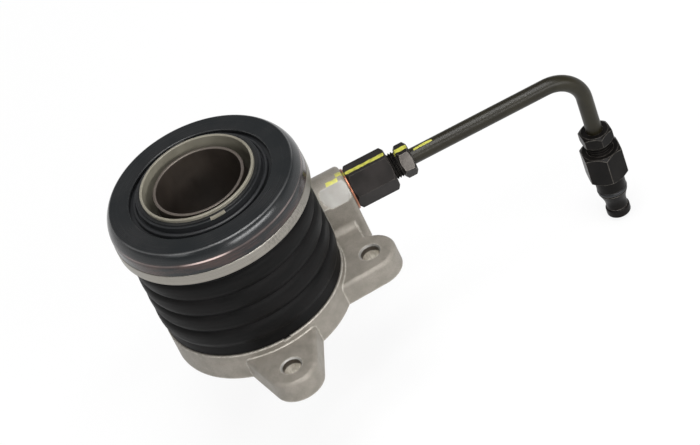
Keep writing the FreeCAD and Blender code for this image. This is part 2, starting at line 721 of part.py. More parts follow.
def bearing_seat():
    """Pressed carrier on the piston's collar, the centring washer and the retaining clip."""
    slip = NOSE_RADIUS + s.fit_gap
    keep("bearing_carrier", turned("bearing_carrier", [
        (slip, s.carrier_height),
        (CARRIER_RADIUS, s.carrier_height),
        (CARRIER_RADIUS, CARRIER_TOP),
        (slip, CARRIER_TOP),
    ]))
    washer_inner = NOSE_RADIUS + s.soft_gap
    washer_outer = washer_inner + s.washer_width
    keep("centring_washer", turned("centring_washer", [
        (washer_inner, RING_BASE - s.washer_wall),
        (washer_outer, CARRIER_TOP),
        (washer_outer, CARRIER_TOP + s.washer_wall),
        (washer_inner, RING_BASE),
    ]))
    disc = spun("clip_disc", [
        (NOSE_RADIUS - s.clip_seat, CLIP_LOW),
        (NOSE_RADIUS + s.clip_reach, CLIP_LOW),
        (NOSE_RADIUS + s.clip_reach, CLIP_LOW + s.clip_wall),
        (NOSE_RADIUS - s.clip_seat, CLIP_LOW + s.clip_wall),
    ])
    gaps = []
    step = 360.0 / s.clip_tab_count
    for number in range(int(s.clip_tab_count.value)):
        sector = DOCUMENT.addObject("Part::Cylinder", f"clip_gap_{number}")
        bind(sector, Radius=NOSE_RADIUS * 2, Height=FACE_HEIGHT, Angle=step - s.clip_tab_angle)
        place(sector, axis=(0, 0, 1), angle=s.clip_turn + s.clip_tab_angle / 2 + step * number)
        gaps.append(sector)
    core = DOCUMENT.addObject("Part::Cylinder", "clip_core")
    bind(core, Radius=NOSE_RADIUS + s.clip_ring, Height=FACE_HEIGHT * 2)
    between = DOCUMENT.addObject("Part::MultiFuse", "clip_gaps")
    between.Shapes = gaps
    open_part = cut("clip_open", between, core)
    place(open_part, z=FACE_HEIGHT / 2)
    keep("retaining_clip", cut("retaining_clip", disc, open_part))


def rings():
    """Inner and outer ring with their raceways, the front shield and the rear seal."""
    race = s.ball_radius + s.race_gap
    half = leg(race, s.race_shoulder)
    inner_bore = NOSE_RADIUS + s.inner_play
    keep("bearing_inner_ring", turned("bearing_inner_ring", [
        (inner_bore, RING_BASE),
        (INNER_SHOULDER, RING_BASE),
        (INNER_SHOULDER, BALL_HEIGHT - half, race, -1),
        (INNER_SHOULDER, BALL_HEIGHT + half),
        (INNER_SHOULDER, INNER_TOP),
        (inner_bore, INNER_TOP),
    ]))
    side = COVER_OUTER - s.cover_wall
    under = FACE_HEIGHT - s.cover_wall
    keep("bearing_outer_ring", turned("bearing_outer_ring", [
        (OUTER_SHOULDER, RING_BASE),
        (BAND_RADIUS, RING_BASE),
        (BAND_RADIUS, RING_BASE + s.band_height),
        (side, RING_BASE + s.band_height),
        (side, COVER_SHOULDER),
        (CROWN_RADIUS - s.cover_wall, under),
        (OUTER_SHOULDER, under),
        (OUTER_SHOULDER, BALL_HEIGHT + half, race, -1),
        (OUTER_SHOULDER, BALL_HEIGHT - half),
    ]))
    collar = SHIELD_INNER + s.shield_collar_width
    keep("front_shield", turned("front_shield", [
        (SHIELD_INNER, INNER_TOP),
        (INNER_SHOULDER, INNER_TOP),
        (INNER_SHOULDER, INNER_TOP + s.shield_lip),
        (SHIELD_OUTER, INNER_TOP + s.shield_lip),
        (SHIELD_OUTER, SHIELD_TOP - s.shield_slope),
        (SHIELD_OUTER - s.shield_slope, SHIELD_TOP),
        (collar, SHIELD_TOP),
        (collar, CLIP_LOW),
        (SHIELD_INNER, CLIP_LOW),
    ]))
    seal_low = RING_BASE + s.rear_seal_lift
    keep("rear_seal", turned("rear_seal", [
        (INNER_SHOULDER + s.rear_seal_gap, seal_low + s.rear_seal_height / 2),
        (INNER_SHOULDER + s.rear_seal_gap * 4, seal_low),
        (OUTER_SHOULDER, seal_low),
        (OUTER_SHOULDER, seal_low + s.rear_seal_height),
        (INNER_SHOULDER + s.rear_seal_gap, seal_low + s.rear_seal_height),
    ]))


def thrust_cover():
    """Pressed steel cover over the outer ring: the face that meets the clutch fingers."""
    outer = COVER_OUTER
    low = RING_BASE + s.band_height
    face_inner = SHIELD_OUTER + s.face_gap
    under = FACE_HEIGHT - s.cover_wall
    cover = turned("thrust_cover", [
        (outer - s.cover_wall, low),
        (outer, low),
        (outer, COVER_SHOULDER),
        (CROWN_RADIUS, FACE_HEIGHT - s.crown_bevel),
        (CROWN_RADIUS - s.crown_bevel, FACE_HEIGHT),
        (face_inner, FACE_HEIGHT),
        (face_inner, under),
        (CROWN_RADIUS - s.cover_wall, under),
        (outer - s.cover_wall, COVER_SHOULDER),
    ])
    rounded(cover, "cover_edges", s.cover_round, [
        (outer, COVER_SHOULDER),
        (face_inner, FACE_HEIGHT),
    ])
    keep("thrust_cover", cover)


def balls_and_cage():
    """The balls, as separate solids in one node, and the crown cage that spaces them."""
    balls = []
    pockets = []
    step = 360.0 / s.ball_count
    for number in range(int(s.ball_count.value)):
        x = PITCH_RADIUS * cosine(step * number)
        y = PITCH_RADIUS * sine(step * number)
        for group, size in ((balls, s.ball_radius), (pockets, s.ball_radius + s.cage_gap)):
            ball = DOCUMENT.addObject("Part::Sphere", f"sphere_{number}")
            bind(ball, Radius=size)
            group.append(place(ball, x, y, BALL_HEIGHT))
    heap = DOCUMENT.addObject("Part::Compound", "bearing_balls")
    heap.Links = balls
    keep("bearing_balls", heap)
    blank = spun("cage_blank", [
        (PITCH_RADIUS - s.cage_half_wall, BALL_HEIGHT - s.cage_skirt),
        (PITCH_RADIUS + s.cage_half_wall, BALL_HEIGHT - s.cage_skirt),
        (PITCH_RADIUS + s.cage_half_wall, BALL_HEIGHT + s.cage_rim),
        (PITCH_RADIUS - s.cage_half_wall, BALL_HEIGHT + s.cage_rim),
    ])
    holes = DOCUMENT.addObject("Part::MultiFuse", "cage_pockets")
    holes.Shapes = pockets
    keep("bearing_cage", cut("bearing_cage", blank, holes))


def dust_boot():
    """Rubber bellows: foot inside the rim, shallow folds, head round the carrier."""
    groove = BOOT_GROOVE
    inner = groove - s.boot_wall
    foot_outer = RIM_INNER - s.soft_gap / 2
    foot_inner = foot_outer - s.boot_foot_width
    over_rim = s.rim_height + s.soft_gap
    count = int(s.boot_fold_count.value)
    lowest = s.rim_height + s.boot_fold_lift
    highest = s.carrier_height - s.boot_fold_drop
    pitch = (highest - lowest) / s.boot_fold_count
    depth = s.boot_fold_depth
    bulge = (pitch * pitch / 4 + depth * depth) / (depth * 2)
    head_low = s.carrier_height - s.soft_gap
    head_top = s.carrier_height + s.boot_head
    grip = CARRIER_RADIUS + s.soft_gap
    crest = groove + depth
    outline = [
        (foot_inner, FLOOR_HEIGHT),
        (foot_outer, FLOOR_HEIGHT),
        (foot_outer, over_rim),
        (groove, over_rim),
    ]
    outline += [(groove, lowest + pitch * n, bulge, 1) for n in range(count)]
    outline += [
        (groove, highest),
        (crest - s.boot_head_inset, highest + depth),
        (crest - s.boot_head_inset, head_top),
        (grip, head_top),
        (grip, head_low),
        (grip - s.boot_lip, head_low),
        (inner, highest),
    ]
    outline[-1] += (bulge, -1)
    outline += [(inner, highest - pitch * n, bulge, -1) for n in range(1, count)]
    outline += [
        (inner, lowest),
        (foot_inner, s.rim_height - s.boot_foot_drop),
    ]
    keep("dust_boot", turned("dust_boot", outline))


def preload_spring():
    """Coil spring between the floor of the housing and the bearing carrier."""
    low = FLOOR_HEIGHT + s.wire_radius
    high = s.carrier_height - s.soft_gap - s.wire_radius
    coil = DOCUMENT.addObject("Part::Helix", "spring_line")
    radius = BOOT_GROOVE - s.spring_inset
    bind(coil, Radius=radius, Height=high - low, Pitch=(high - low) / s.spring_turns)
    place(coil, z=low)
    wire = DOCUMENT.addObject("Part::Circle", "spring_wire")
    bind(wire, Radius=s.wire_radius)
    place(wire, x=radius, z=low, axis=(1, 0, 0), angle=90)
    spring = DOCUMENT.addObject("Part::Sweep", "preload_spring")
    spring.Sections = [wire]
    spring.Spine = (coil, [])
    spring.Solid = True
    spring.Frenet = True
    keep("preload_spring", spring)


def hexagon_piece(node, outline, flats, turn, start, length):
    """A fitting turned from hexagon bar along +X: a spun outline inside a hexagon."""
    bar = DOCUMENT.addObject("Part::Prism", f"{node}_bar")
    bar.Polygon = 6
    bind(bar, Circumradius=flats / (2 * cosine(30)), Height=length)
    bar.Placement = FreeCAD.Placement()
    sides = DOCUMENT.addObject("Part::Compound", f"{node}_sides")
    sides.Links = [place(bar, axis=(0, 0, 1), angle=turn)]
    place(sides, x=start, axis=(0, 1, 0), angle=90)
    piece = DOCUMENT.addObject("Part::Common", node)
    piece.Base = spun(f"{node}_blank", outline, along="X")
    piece.Tool = sides
    return keep(node, piece)


def on_port(thing):
    """Fittings on the port axis."""
    return place(thing, y=s.port_offset, z=s.port_height)


def on_line(thing):
    """Fittings on the second leg, measured from the corner of the pipe."""
    return place(thing, s.pipe_corner, s.port_offset, s.port_height, (0, 1, 0), s.bend_angle)


def chamfered(start, stop, flats):
    """Outline points of a hexagon with both ends chamfered, from start to stop."""
    corner = flats / (2 * cosine(30))
    flat = corner - s.hex_chamfer
    return [(start, flat), (start + s.hex_bevel, corner),
            (stop - s.hex_bevel, corner), (stop, flat)]


def pipe_nut(node, face, shank_end, inner_face, turn, flats):
    """Pipe nut: chamfered hexagon on a threaded shank that points back along the pipe."""
    bore = s.pipe_radius + s.pipe_gap
    shank = s.thread_radius - s.thread_gap
    seat = shank_end
    direction = 1 if face.value > shank_end.value else -1
    low, high = (inner_face, face) if direction > 0 else (face, inner_face)
    hexagon = chamfered(low, high, flats)
    if direction > 0:
        outline = [(seat, bore), (seat, shank - s.thread_lead), (seat + s.thread_lead, shank),
                   (low, shank)] + hexagon + [(high, bore)]
        start, length = seat, high - seat
    else:
        outline = [(low, bore)] + hexagon + [(high, shank), (seat - s.thread_lead, shank),
                                              (seat, shank - s.thread_lead), (seat, bore)]
        start, length = low, seat - low
    return hexagon_piece(node, outline, flats, turn, start, length)


def port_fittings():
    """Copper washer, adaptor and pipe nut, screwed into the port one behind the other."""
    washer_end = s.boss_face + s.seal_washer_wall
    on_port(keep("copper_washer", turned("copper_washer", [
        (s.boss_face, s.thread_radius),
        (washer_end, s.thread_radius),
        (washer_end, s.seal_washer_radius),
        (s.boss_face, s.seal_washer_radius),
    ], along="X")))
    spigot = s.thread_radius - s.thread_gap
    spigot_end = washer_end - s.adaptor_spigot
    hex_end = washer_end + s.adaptor_length
    seat = hex_end - s.nut_engaged - s.flare_length / 2
    outline = [
        (spigot_end, s.line_bore),
        (spigot_end, spigot - s.thread_lead),
        (spigot_end + s.thread_lead, spigot),
        (washer_end, spigot),
    ]
    outline += chamfered(washer_end, hex_end, s.adaptor_flats)
    outline += [(hex_end, s.thread_radius), (seat, s.thread_radius), (seat, s.line_bore)]
    on_port(hexagon_piece("port_adaptor", outline, s.adaptor_flats, s.adaptor_turn,
                          spigot_end, hex_end - spigot_end))
    nut_low = hex_end + s.nut_stand_off
    on_port(pipe_nut("port_pipe_nut", nut_low + s.nut_length, hex_end - s.nut_engaged,
                     nut_low, s.nut_turn, s.nut_flats))
    return seat


def line_fittings():
    """Lower pipe nut and the adaptor whose plug-in end takes the next line, with its O-ring."""
    nut_end = s.line_nut_start + s.nut_length
    hex_start = nut_end + s.line_stand_off
    hex_end = hex_start + s.line_hex_length
    shank_end = hex_start + s.nut_engaged
    seat = shank_end + s.flare_length / 2
    on_line(pipe_nut("line_pipe_nut", s.line_nut_start, shank_end, nut_end,
                     s.line_nut_turn, s.nut_flats))
    collar_end = hex_end + s.collar_length
    groove_end = collar_end - s.groove_back
    groove_low = groove_end - s.groove_length
    groove = s.line_collar_radius - s.groove_inset
    neck_low = collar_end + s.neck_taper
    bead_low = neck_low + s.neck_length
    bead_end = bead_low + s.bead_length
    outline = [(hex_start, s.thread_radius)]
    outline += chamfered(hex_start, hex_end, s.line_flats)
    outline += [
        (hex_end, s.line_collar_radius),
        (groove_low, s.line_collar_radius),
        (groove_low, groove),
        (groove_end, groove),
        (groove_end, s.line_collar_radius),
        (collar_end, s.line_collar_radius - s.collar_lead),
        (neck_low, s.neck_radius),
        (bead_low, s.neck_radius),
        (bead_low + s.bead_slope / 2, s.bead_radius),
        (bead_end - s.bead_slope, s.bead_radius),
        (bead_end, s.neck_radius - s.nose_lead),
        (bead_end, s.line_bore),
        (seat, s.line_bore),
        (seat, s.thread_radius),
    ]
    on_line(hexagon_piece("line_adaptor", outline, s.line_flats, s.line_hex_turn,
                          hex_start, bead_end - hex_start))
    cord = s.groove_cord / 2
    ring = DOCUMENT.addObject("Part::Torus", "line_seal")
    bind(ring, Radius1=groove + cord, Radius2=cord)
    turned_ring = DOCUMENT.addObject("Part::Compound", "line_seal_ring")
    turned_ring.Links = [place(ring, x=(groove_low + groove_end) / 2, axis=(0, 1, 0), angle=90)]
    on_line(keep("line_seal", turned_ring))
    return seat


def pressure_pipe(near_seat, far_seat):
    """Steel pipe with one bend and a flare at each end."""
    bend_start = s.pipe_corner - LEG_TANGENT
    bend_end_x = s.pipe_corner + LEG_TANGENT * cosine(s.bend_angle)
    bend_end_z = -(LEG_TANGENT * sine(s.bend_angle))
    end_x = s.pipe_corner + far_seat * cosine(s.bend_angle)
    end_z = -(far_seat * sine(s.bend_angle))
    path = loose_sketch("pipe_path", [
        (near_seat, 0.0),
        (bend_start, 0.0, s.bend_radius, -1),
        (bend_end_x, bend_end_z),
        (end_x, end_z),
    ], closed=False)
    runs = []
    for name, radius in (("pipe_skin", s.pipe_radius), ("pipe_way", s.pipe_radius - s.pipe_wall)):
        ring = DOCUMENT.addObject("Part::Circle", f"{name}_ring")
        bind(ring, Radius=radius)
        place(ring, x=near_seat, axis=(0, 1, 0), angle=90)
        run = DOCUMENT.addObject("Part::Sweep", name)
        run.Sections = [ring]
        run.Spine = (path, [])
        run.Solid = True
        run.Frenet = False
        runs.append(run)
    flare = [(near_seat, 0.0), (near_seat, s.flare_radius),
             (near_seat + s.flare_length / 2, s.pipe_radius),
             (near_seat + s.flare_length / 2, 0.0)]
    near = spun("near_flare", flare, along="X")
    far = spun("far_flare", [(far_seat, 0.0), (far_seat, s.flare_radius),
                             (far_seat - s.flare_length / 2, s.pipe_radius),
                             (far_seat - s.flare_length / 2, 0.0)], along="X")
    place(far, x=s.pipe_corner, axis=(0, 1, 0), angle=s.bend_angle)
    whole = DOCUMENT.addObject("Part::MultiFuse", "pipe_solid")
    whole.Shapes = [runs[0], near, far]
    on_port(keep("pressure_pipe", cut("pressure_pipe", whole, runs[1])))


def check_and_write():
    """Stop on any failed object or bad shape, then write one file per piece."""
    DOCUMENT.recompute()
    for thing in DOCUMENT.Objects:
        if "Invalid" in thing.State or "Error" in thing.State:
            raise RuntimeError(f"{thing.Name} failed: {thing.State}")
    for node, piece in PIECES.items():
        shape = piece.Shape
        if shape.isNull() or not shape.isValid() or not shape.Solids:
            raise RuntimeError(f"{node} has no sound solid")
    os.makedirs("parts", exist_ok=True)
    for node, piece in PIECES.items():
        piece.Shape.exportStep(f"parts/{node}.step")
        print(f"{node}: {len(piece.Shape.Solids)} solid(s), {piece.Shape.Volume:.1f} mm3")


housing()
guide_tube()
housing_seals()
piston()
bearing_seat()
rings()
thrust_cover()
balls_and_cage()
dust_boot()
preload_spring()
pressure_pipe(port_fittings(), line_fittings())
check_and_write()
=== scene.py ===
"""Looks of a clutch release bearing on a ring-shaped slave cylinder, built round its CAD frame.

The frame is the CAD's own: origin on the bore axis at the gearbox face, +Z towards the
clutch, +X along the pressure pipe. Outlines are written in millimetres, as (radius, height)
round an upright axis, and a finished piece is scaled to metres and put in its place.
"""
import math

import bmesh
import bpy
from mathutils import Matrix, Vector


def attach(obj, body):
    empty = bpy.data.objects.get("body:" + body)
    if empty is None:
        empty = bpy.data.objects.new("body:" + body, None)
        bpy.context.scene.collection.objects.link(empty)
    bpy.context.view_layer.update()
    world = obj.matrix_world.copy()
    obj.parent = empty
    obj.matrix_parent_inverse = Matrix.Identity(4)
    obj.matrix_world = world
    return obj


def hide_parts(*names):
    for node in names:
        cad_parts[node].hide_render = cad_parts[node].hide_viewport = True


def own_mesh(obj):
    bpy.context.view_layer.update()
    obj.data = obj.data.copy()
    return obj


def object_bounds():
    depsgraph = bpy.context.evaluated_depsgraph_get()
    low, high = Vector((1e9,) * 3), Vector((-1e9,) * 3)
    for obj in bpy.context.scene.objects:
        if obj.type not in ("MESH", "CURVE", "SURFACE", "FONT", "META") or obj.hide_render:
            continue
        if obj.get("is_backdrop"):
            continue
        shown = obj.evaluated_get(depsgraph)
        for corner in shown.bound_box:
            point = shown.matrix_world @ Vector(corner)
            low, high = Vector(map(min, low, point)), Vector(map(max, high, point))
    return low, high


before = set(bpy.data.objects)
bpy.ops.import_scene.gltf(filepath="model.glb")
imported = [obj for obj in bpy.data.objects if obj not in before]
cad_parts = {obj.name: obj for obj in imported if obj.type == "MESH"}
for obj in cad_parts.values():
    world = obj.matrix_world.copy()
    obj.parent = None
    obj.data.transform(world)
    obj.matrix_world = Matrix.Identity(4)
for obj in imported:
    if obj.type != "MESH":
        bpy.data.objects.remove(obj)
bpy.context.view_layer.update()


# Cylinder housing
# Die-cast aluminium: a round base with a thin rim, the ring-shaped cylinder, three screw ears
# and the port boss. The gearbox face, the boss end, the spot face and the holes are machined.
def put(tree, kind, inputs=None, **settings):
    """Adds a node. An input that is given a socket is linked to it, any other is set."""
    node = tree.nodes.new("ShaderNode" + kind)
    for name, value in settings.items():
        setattr(node, name, value)
    for name, value in (inputs or {}).items():
        if isinstance(value, bpy.types.NodeSocket):
            tree.links.new(value, node.inputs[name])
        else:
            node.inputs[name].default_value = value
    return node


def calc(tree, operation, *values, clamp=False):
    return put(tree, "Math", dict(enumerate(values)), operation=operation,
               use_clamp=clamp).outputs[0]


def ramp(tree, value, low, high, start=0.0, end=1.0):
    """A soft step: start below low, end above high."""
    return put(tree, "MapRange", {"Value": value, "From Min": low, "From Max": high,
                                  "To Min": start, "To Max": end},
               interpolation_type="SMOOTHSTEP").outputs[0]


def tint(tree, factor, first, second):
    """One colour over another."""
    return put(tree, "Mix", {0: factor, 6: first, 7: second}, data_type="RGBA").outputs[2]


def times(tree, mask, *others):
    """The product of masks."""
    for other in others:
        mask = calc(tree, "MULTIPLY", mask, other)
    return mask


def noise(tree, place, scale, detail=2.0, rough=0.5):
    return put(tree, "TexNoise", {"Vector": place, "Scale": scale, "Detail": detail,
                                  "Roughness": rough}).outputs["Fac"]


def stretched(tree, place, sideways, upright):
    """A place to lay noise on, so that it comes out drawn along or round the upright axis."""
    return put(tree, "Mapping", {"Vector": place,
                                 "Scale": (sideways, sideways, upright)}).outputs[0]


def bumps(tree, height, strength, distance, under=None):
    """The normal of a bumpy skin, laid over another normal if one is given."""
    inputs = {"Height": height, "Strength": strength, "Distance": distance}
    if under is not None:
        inputs["Normal"] = under
    return put(tree, "Bump", inputs).outputs[0]


def shade(red, green, blue):
    """A colour as it looks on a screen, 0 to 255, for a shader socket."""
    return tuple((c / 255 / 12.92) if c <= 10 else ((c / 255 + 0.055) / 1.055) ** 2.4
                 for c in (red, green, blue)) + (1.0,)


def start_finish(name, metallic, rough, **sockets):
    """A new material: its node tree, its shader and the object coordinates."""
    finish = bpy.data.materials.new(name)
    finish.use_nodes = True
    tree = finish.node_tree
    shader = tree.nodes["Principled BSDF"]
    shader.inputs["Metallic"].default_value = metallic
    shader.inputs["Roughness"].default_value = rough
    for socket, value in sockets.items():
        shader.inputs[socket.replace("_", " ")].default_value = value
    return finish, tree, shader, put(tree, "TexCoord").outputs["Object"]


def wire(tree, shader, **sockets):
    """Links what was worked out to the sockets of the shader."""
    for socket, value in sockets.items():
        tree.links.new(value, shader.inputs[socket.replace("_", " ")])


def shared_effect(name, wants, gives):
    """An empty node group with these inputs and outputs, and its two end nodes."""
    group = bpy.data.node_groups.new(name, "ShaderNodeTree")
    for label, value in wants.items():
        kind = "NodeSocketVector" if value is None else "NodeSocketFloat"
        socket = group.interface.new_socket(label, in_out="INPUT", socket_type=kind)
        if value is not None:
            socket.default_value = value
    for label in gives:
        group.interface.new_socket(label, in_out="OUTPUT", socket_type="NodeSocketFloat")
    return group, group.nodes.new("NodeGroupInput"), group.nodes.new("NodeGroupOutput")


def use_effect(tree, group, **inputs):
    node = put(tree, "Group", node_tree=group)
    for name, value in inputs.items():
        if isinstance(value, bpy.types.NodeSocket):
            tree.links.new(value, node.inputs[name])
        else:
            node.inputs[name].default_value = value
    return node.outputs


def patches(tree, grain, dark, light, low=0.3, high=0.7):
    """Two tones in the broad patches of a grain."""
    return tint(tree, ramp(tree, grain["Patches"], low, high), shade(*dark), shade(*light))


# Fine speckle and broad patches, for anything cast, moulded or plated
fine_grain, wants, gives = shared_effect("fine_grain", {"Place": None, "Scale": 2000.0},
                                         ["Speckle", "Patches"])
fine_grain.links.new(noise(fine_grain, wants.outputs["Place"], wants.outputs["Scale"], 3.0, 0.6),
                     gives.inputs["Speckle"])
broad = times(fine_grain, wants.outputs["Scale"], 0.06)
fine_grain.links.new(noise(fine_grain, wants.outputs["Place"], broad, 3.0, 0.55),
                     gives.inputs["Patches"])

# Bright edges, partly rubbed wear and partly painted highlight: how far the rounded normal leans
# from the face, broken up by noise
edge_wear_and_highlight, wants, gives = shared_effect(
    "edge_wear_and_highlight", {"Place": None, "Width": 0.0004, "Breakup": 900.0}, ["Edge"])
lean = put(edge_wear_and_highlight, "VectorMath", {
    0: put(edge_wear_and_highlight, "Bevel", {"Radius": wants.outputs["Width"]}, samples=6).outputs[0],
    1: put(edge_wear_and_highlight, "NewGeometry").outputs["Normal"]}, operation="DOT_PRODUCT").outputs["Value"]
patchy = ramp(edge_wear_and_highlight, noise(edge_wear_and_highlight, wants.outputs["Place"], wants.outputs["Breakup"]),
              0.35, 0.6, 0.35, 1.0)
edge_wear_and_highlight.links.new(times(edge_wear_and_highlight, ramp(edge_wear_and_highlight, lean, 0.995, 0.93), patchy),
                     gives.inputs["Edge"])

# Lines left by the lathe: rings on a face and round a cylinder whose axis is the piece's Z
lathe_lines, wants, gives = shared_effect("lathe_lines", {"Place": None, "Lines": 3000.0},
                                          ["Line"])
apart = put(lathe_lines, "SeparateXYZ", {0: wants.outputs["Place"]}).outputs
across = calc(lathe_lines, "SQRT", calc(lathe_lines, "ADD", times(lathe_lines, apart[0], apart[0]),
                                        times(lathe_lines, apart[1], apart[1])))
lathe_lines.links.new(put(lathe_lines, "TexNoise", {
    "W": calc(lathe_lines, "ADD", across, apart[2]), "Scale": wants.outputs["Lines"],
    "Detail": 2.0}, noise_dimensions="1D").outputs["Fac"], gives.inputs["Line"])

# A dab of inspection paint: a bar along X, centred on the place it is given
paint_dab, wants, gives = shared_effect(
    "paint_dab", {"Place": None, "Half Width": 0.0015, "Start": 0.0, "End": 0.01}, ["Paint"])
wobble = put(paint_dab, "VectorMath", {
    0: put(paint_dab, "TexNoise", {"Vector": wants.outputs["Place"], "Scale": 420.0,
                                   "Detail": 2.0}).outputs["Color"],
    1: (0.5, 0.5, 0.5)}, operation="SUBTRACT").outputs[0]
spot = put(paint_dab, "VectorMath", {
    0: put(paint_dab, "VectorMath", {0: wobble, "Scale": 0.0011}, operation="SCALE").outputs[0],
    1: wants.outputs["Place"]}, operation="ADD").outputs[0]
spot = put(paint_dab, "SeparateXYZ", {0: spot}).outputs
margin = calc(paint_dab, "SUBTRACT", wants.outputs["Half Width"],
              calc(paint_dab, "ABSOLUTE", spot[1]))
for end in (calc(paint_dab, "SUBTRACT", spot[0], wants.outputs["Start"]),
            calc(paint_dab, "SUBTRACT", wants.outputs["End"], spot[0]), spot[2]):
    margin = calc(paint_dab, "MINIMUM", margin, end)
paint_dab.links.new(ramp(paint_dab, margin, 0.0, 0.00025), gives.inputs["Paint"])

YELLOW = shade(190, 188, 84)


def painted(tree, colour, place, *dabs):
    """Inspection paint over a colour; a dab is (centre, turn about X, half width, start, end)."""
    thin = ramp(tree, noise(tree, place, 700.0, 3.0), 0.3, 0.6, 0.6, 1.0)
    for centre, turn, half, start, end in dabs:
        local = put(tree, "Mapping", {
            "Vector": place, "Location": centre, "Rotation": (math.radians(turn), 0.0, 0.0)},
            vector_type="TEXTURE").outputs[0]
        paint = use_effect(tree, paint_dab, Place=local, **{
            "Half Width": half / 1000, "Start": start / 1000, "End": end / 1000})["Paint"]
        colour = tint(tree, times(tree, paint, thin), colour, YELLOW)
    return colour


# The axis of the port, the nut and the pipe, along X: in millimetres, and in metres
PORT_AXIS = (0.0, 17.3, 16.4)
PORT_PLACE = tuple(value / 1000 for value in PORT_AXIS)

cast_aluminium, tree, shader, place = start_finish("cast_aluminium", 0.35, 0.5)
grain = use_effect(tree, fine_grain, Place=place, Scale=3800.0)
edge = use_effect(tree, edge_wear_and_highlight, Place=place, Width=0.0011, Breakup=700.0)["Edge"]
skin = patches(tree, grain, (128, 123, 114), (144, 138, 129), 0.25, 0.75)
skin = tint(tree, ramp(tree, grain["Speckle"], 0.28, 0.5, 0.6, 0.0), skin, shade(102, 97, 90))
# Painted highlight: the rounded edges and fillets of the casting are painted light, with some
# rubbed wear
skin = tint(tree, times(tree, edge, 0.8), skin, shade(204, 199, 189))
skin = painted(tree, skin, place, ((0.0415, 0.0146, 0.0235), 20.7, 1.1, -2.6, 2.2),
               (PORT_PLACE, 8.0, 1.0, 43.4, 45.9))
soft = put(tree, "Bevel", {"Radius": 0.001}, samples=8).outputs[0]
rough_skin = bumps(tree, grain["Speckle"], 0.5, 0.00013, soft)
wire(tree, shader, Base_Color=skin, Roughness=ramp(tree, grain["Speckle"], 0.2, 0.8, 0.62, 0.42),
     Normal=bumps(tree, grain["Patches"], 0.16, 0.0006, rough_skin))

machined_aluminium, tree, shader, place = start_finish("machined_aluminium", 0.4, 0.42)
grain = use_effect(tree, fine_grain, Place=place, Scale=1500.0)
line = use_effect(tree, lathe_lines, Place=place, Lines=2600.0)["Line"]
wire(tree, shader, Base_Color=patches(tree, grain, (134, 131, 126), (160, 158, 153)),
     Roughness=ramp(tree, line, 0.3, 0.7, 0.42, 0.48), Normal=bumps(tree, line, 0.05, 0.00004))

# Painted shade: a screw hole's wall is painted dark near its top, where it lies in its own shade,
# and bright below
drilled_hole, tree, shader, place = start_finish("drilled_hole", 0.5, 0.42)
streaks = noise(tree, stretched(tree, place, 1.0, 0.4), 900.0, 3.0, 0.6)
drill = tint(tree, ramp(tree, streaks, 0.35, 0.65), shade(176, 169, 156), shade(214, 208, 196))
height = put(tree, "SeparateXYZ", {0: place}).outputs[2]
uneven = calc(tree, "ADD", height, times(tree, streaks, 0.0012))
wire(tree, shader, Base_Color=tint(tree, ramp(tree, uneven, 0.0063, 0.0070), drill,
                                   shade(72, 65, 57)))


def as_mesh(bm, name, *finishes):
    """The worked piece as a mesh with its materials."""
    mesh = bpy.data.meshes.new(name)
    bm.to_mesh(mesh)
    bm.free()
    for finish in finishes:
        mesh.materials.append(finish)
    return mesh


def show(mesh, name, body, slot, *nodes):
    """The finished object: smooth but for its sharp edges, on its body, in place of its nodes."""
    piece = bpy.data.objects.new(name, mesh)
    bpy.context.scene.collection.objects.link(piece)
    piece.modifiers.new("even_shading", "WEIGHTED_NORMAL").keep_sharp = True
    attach(piece, body)
    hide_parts(*nodes)
    return piece


def harden(bm, angle):
    """Smooth faces, with the edges that turn by more than the angle left sharp."""
    for face in bm.faces:
        face.smooth = True
    for edge in bm.edges:
        edge.smooth = edge.calc_face_angle(0.0) < math.radians(angle)


casting = bmesh.new()
casting.from_mesh(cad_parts["cylinder_housing"].data)
bmesh.ops.remove_doubles(casting, verts=casting.verts, dist=0.000002)
harden(casting, 24)
EAR_HOLES = [(-0.78, -44.49), (41.83, -9.50), (-19.29, 39.55)]
SPOT_SIDE, SPOT_DEPTH = Vector((0, -1, 1)).normalized(), 0.00905
MACHINED, DRILLED = 1, 2
port = Vector(PORT_PLACE)
for face in casting.faces:
    middle = face.calc_center_median()
    beside = min((middle.xy - Vector(hole) / 1000).length for hole in EAR_HOLES)
    hole_edge = beside < 0.00405 and 0.1 < abs(face.normal.z) < 0.9
    gearbox_face = middle.z < 0.00001
    boss_end = middle.x > 0.04599 and (middle - port).yz.length < 0.0098
    spot_face = (abs((middle - port).dot(SPOT_SIDE) - SPOT_DEPTH) < 0.00005
                 and face.normal.dot(SPOT_SIDE) > 0.999 and middle.x > 0.035)
    bore = middle.xy.length < 0.0221 and middle.z > 0.004
    if beside < 0.0036 and abs(face.normal.z) < 0.1:
        face.material_index = DRILLED
    elif hole_edge or gearbox_face or boss_end or spot_face or bore:
        face.material_index = MACHINED
# The small notch in the rim is a little shallower than the CAD's
NOTCH_FLOOR, NOTCH_LIFT = 0.0095, 0.0010
for vert in casting.verts:
    in_notch = 0.001 < vert.co.x < 0.0036 and vert.co.y < -0.03
    if in_notch and abs(vert.co.z - NOTCH_FLOOR) < 0.00001:
        vert.co.z += NOTCH_LIFT
show(as_mesh(casting, "housing_casting", cast_aluminium, machined_aluminium, drilled_hole),
     "housing_casting", "housing", "cast_aluminium", "cylinder_housing")


# Guide tube
# Drawn steel tube, phosphated dark brown and oiled, with a bright cut rim. Its flange is
# pressed into the gearbox face of the housing, over an O-ring.
def outline_face(bm, corners, rounds):
    """A closed outline as one face in the XZ plane; rounds is {radius: numbers of corners}."""
    verts = [bm.verts.new((radius, 0.0, height)) for radius, height in corners]
    bm.faces.new(verts)
    for radius, numbers in (rounds or {}).items():
        bmesh.ops.bevel(bm, geom=[verts[n] for n in numbers], offset=radius, offset_type="OFFSET",
                        segments=4, profile=0.5, affect="VERTICES", clamp_overlap=True,
                        material=-1)
    return bm.faces[:][0]


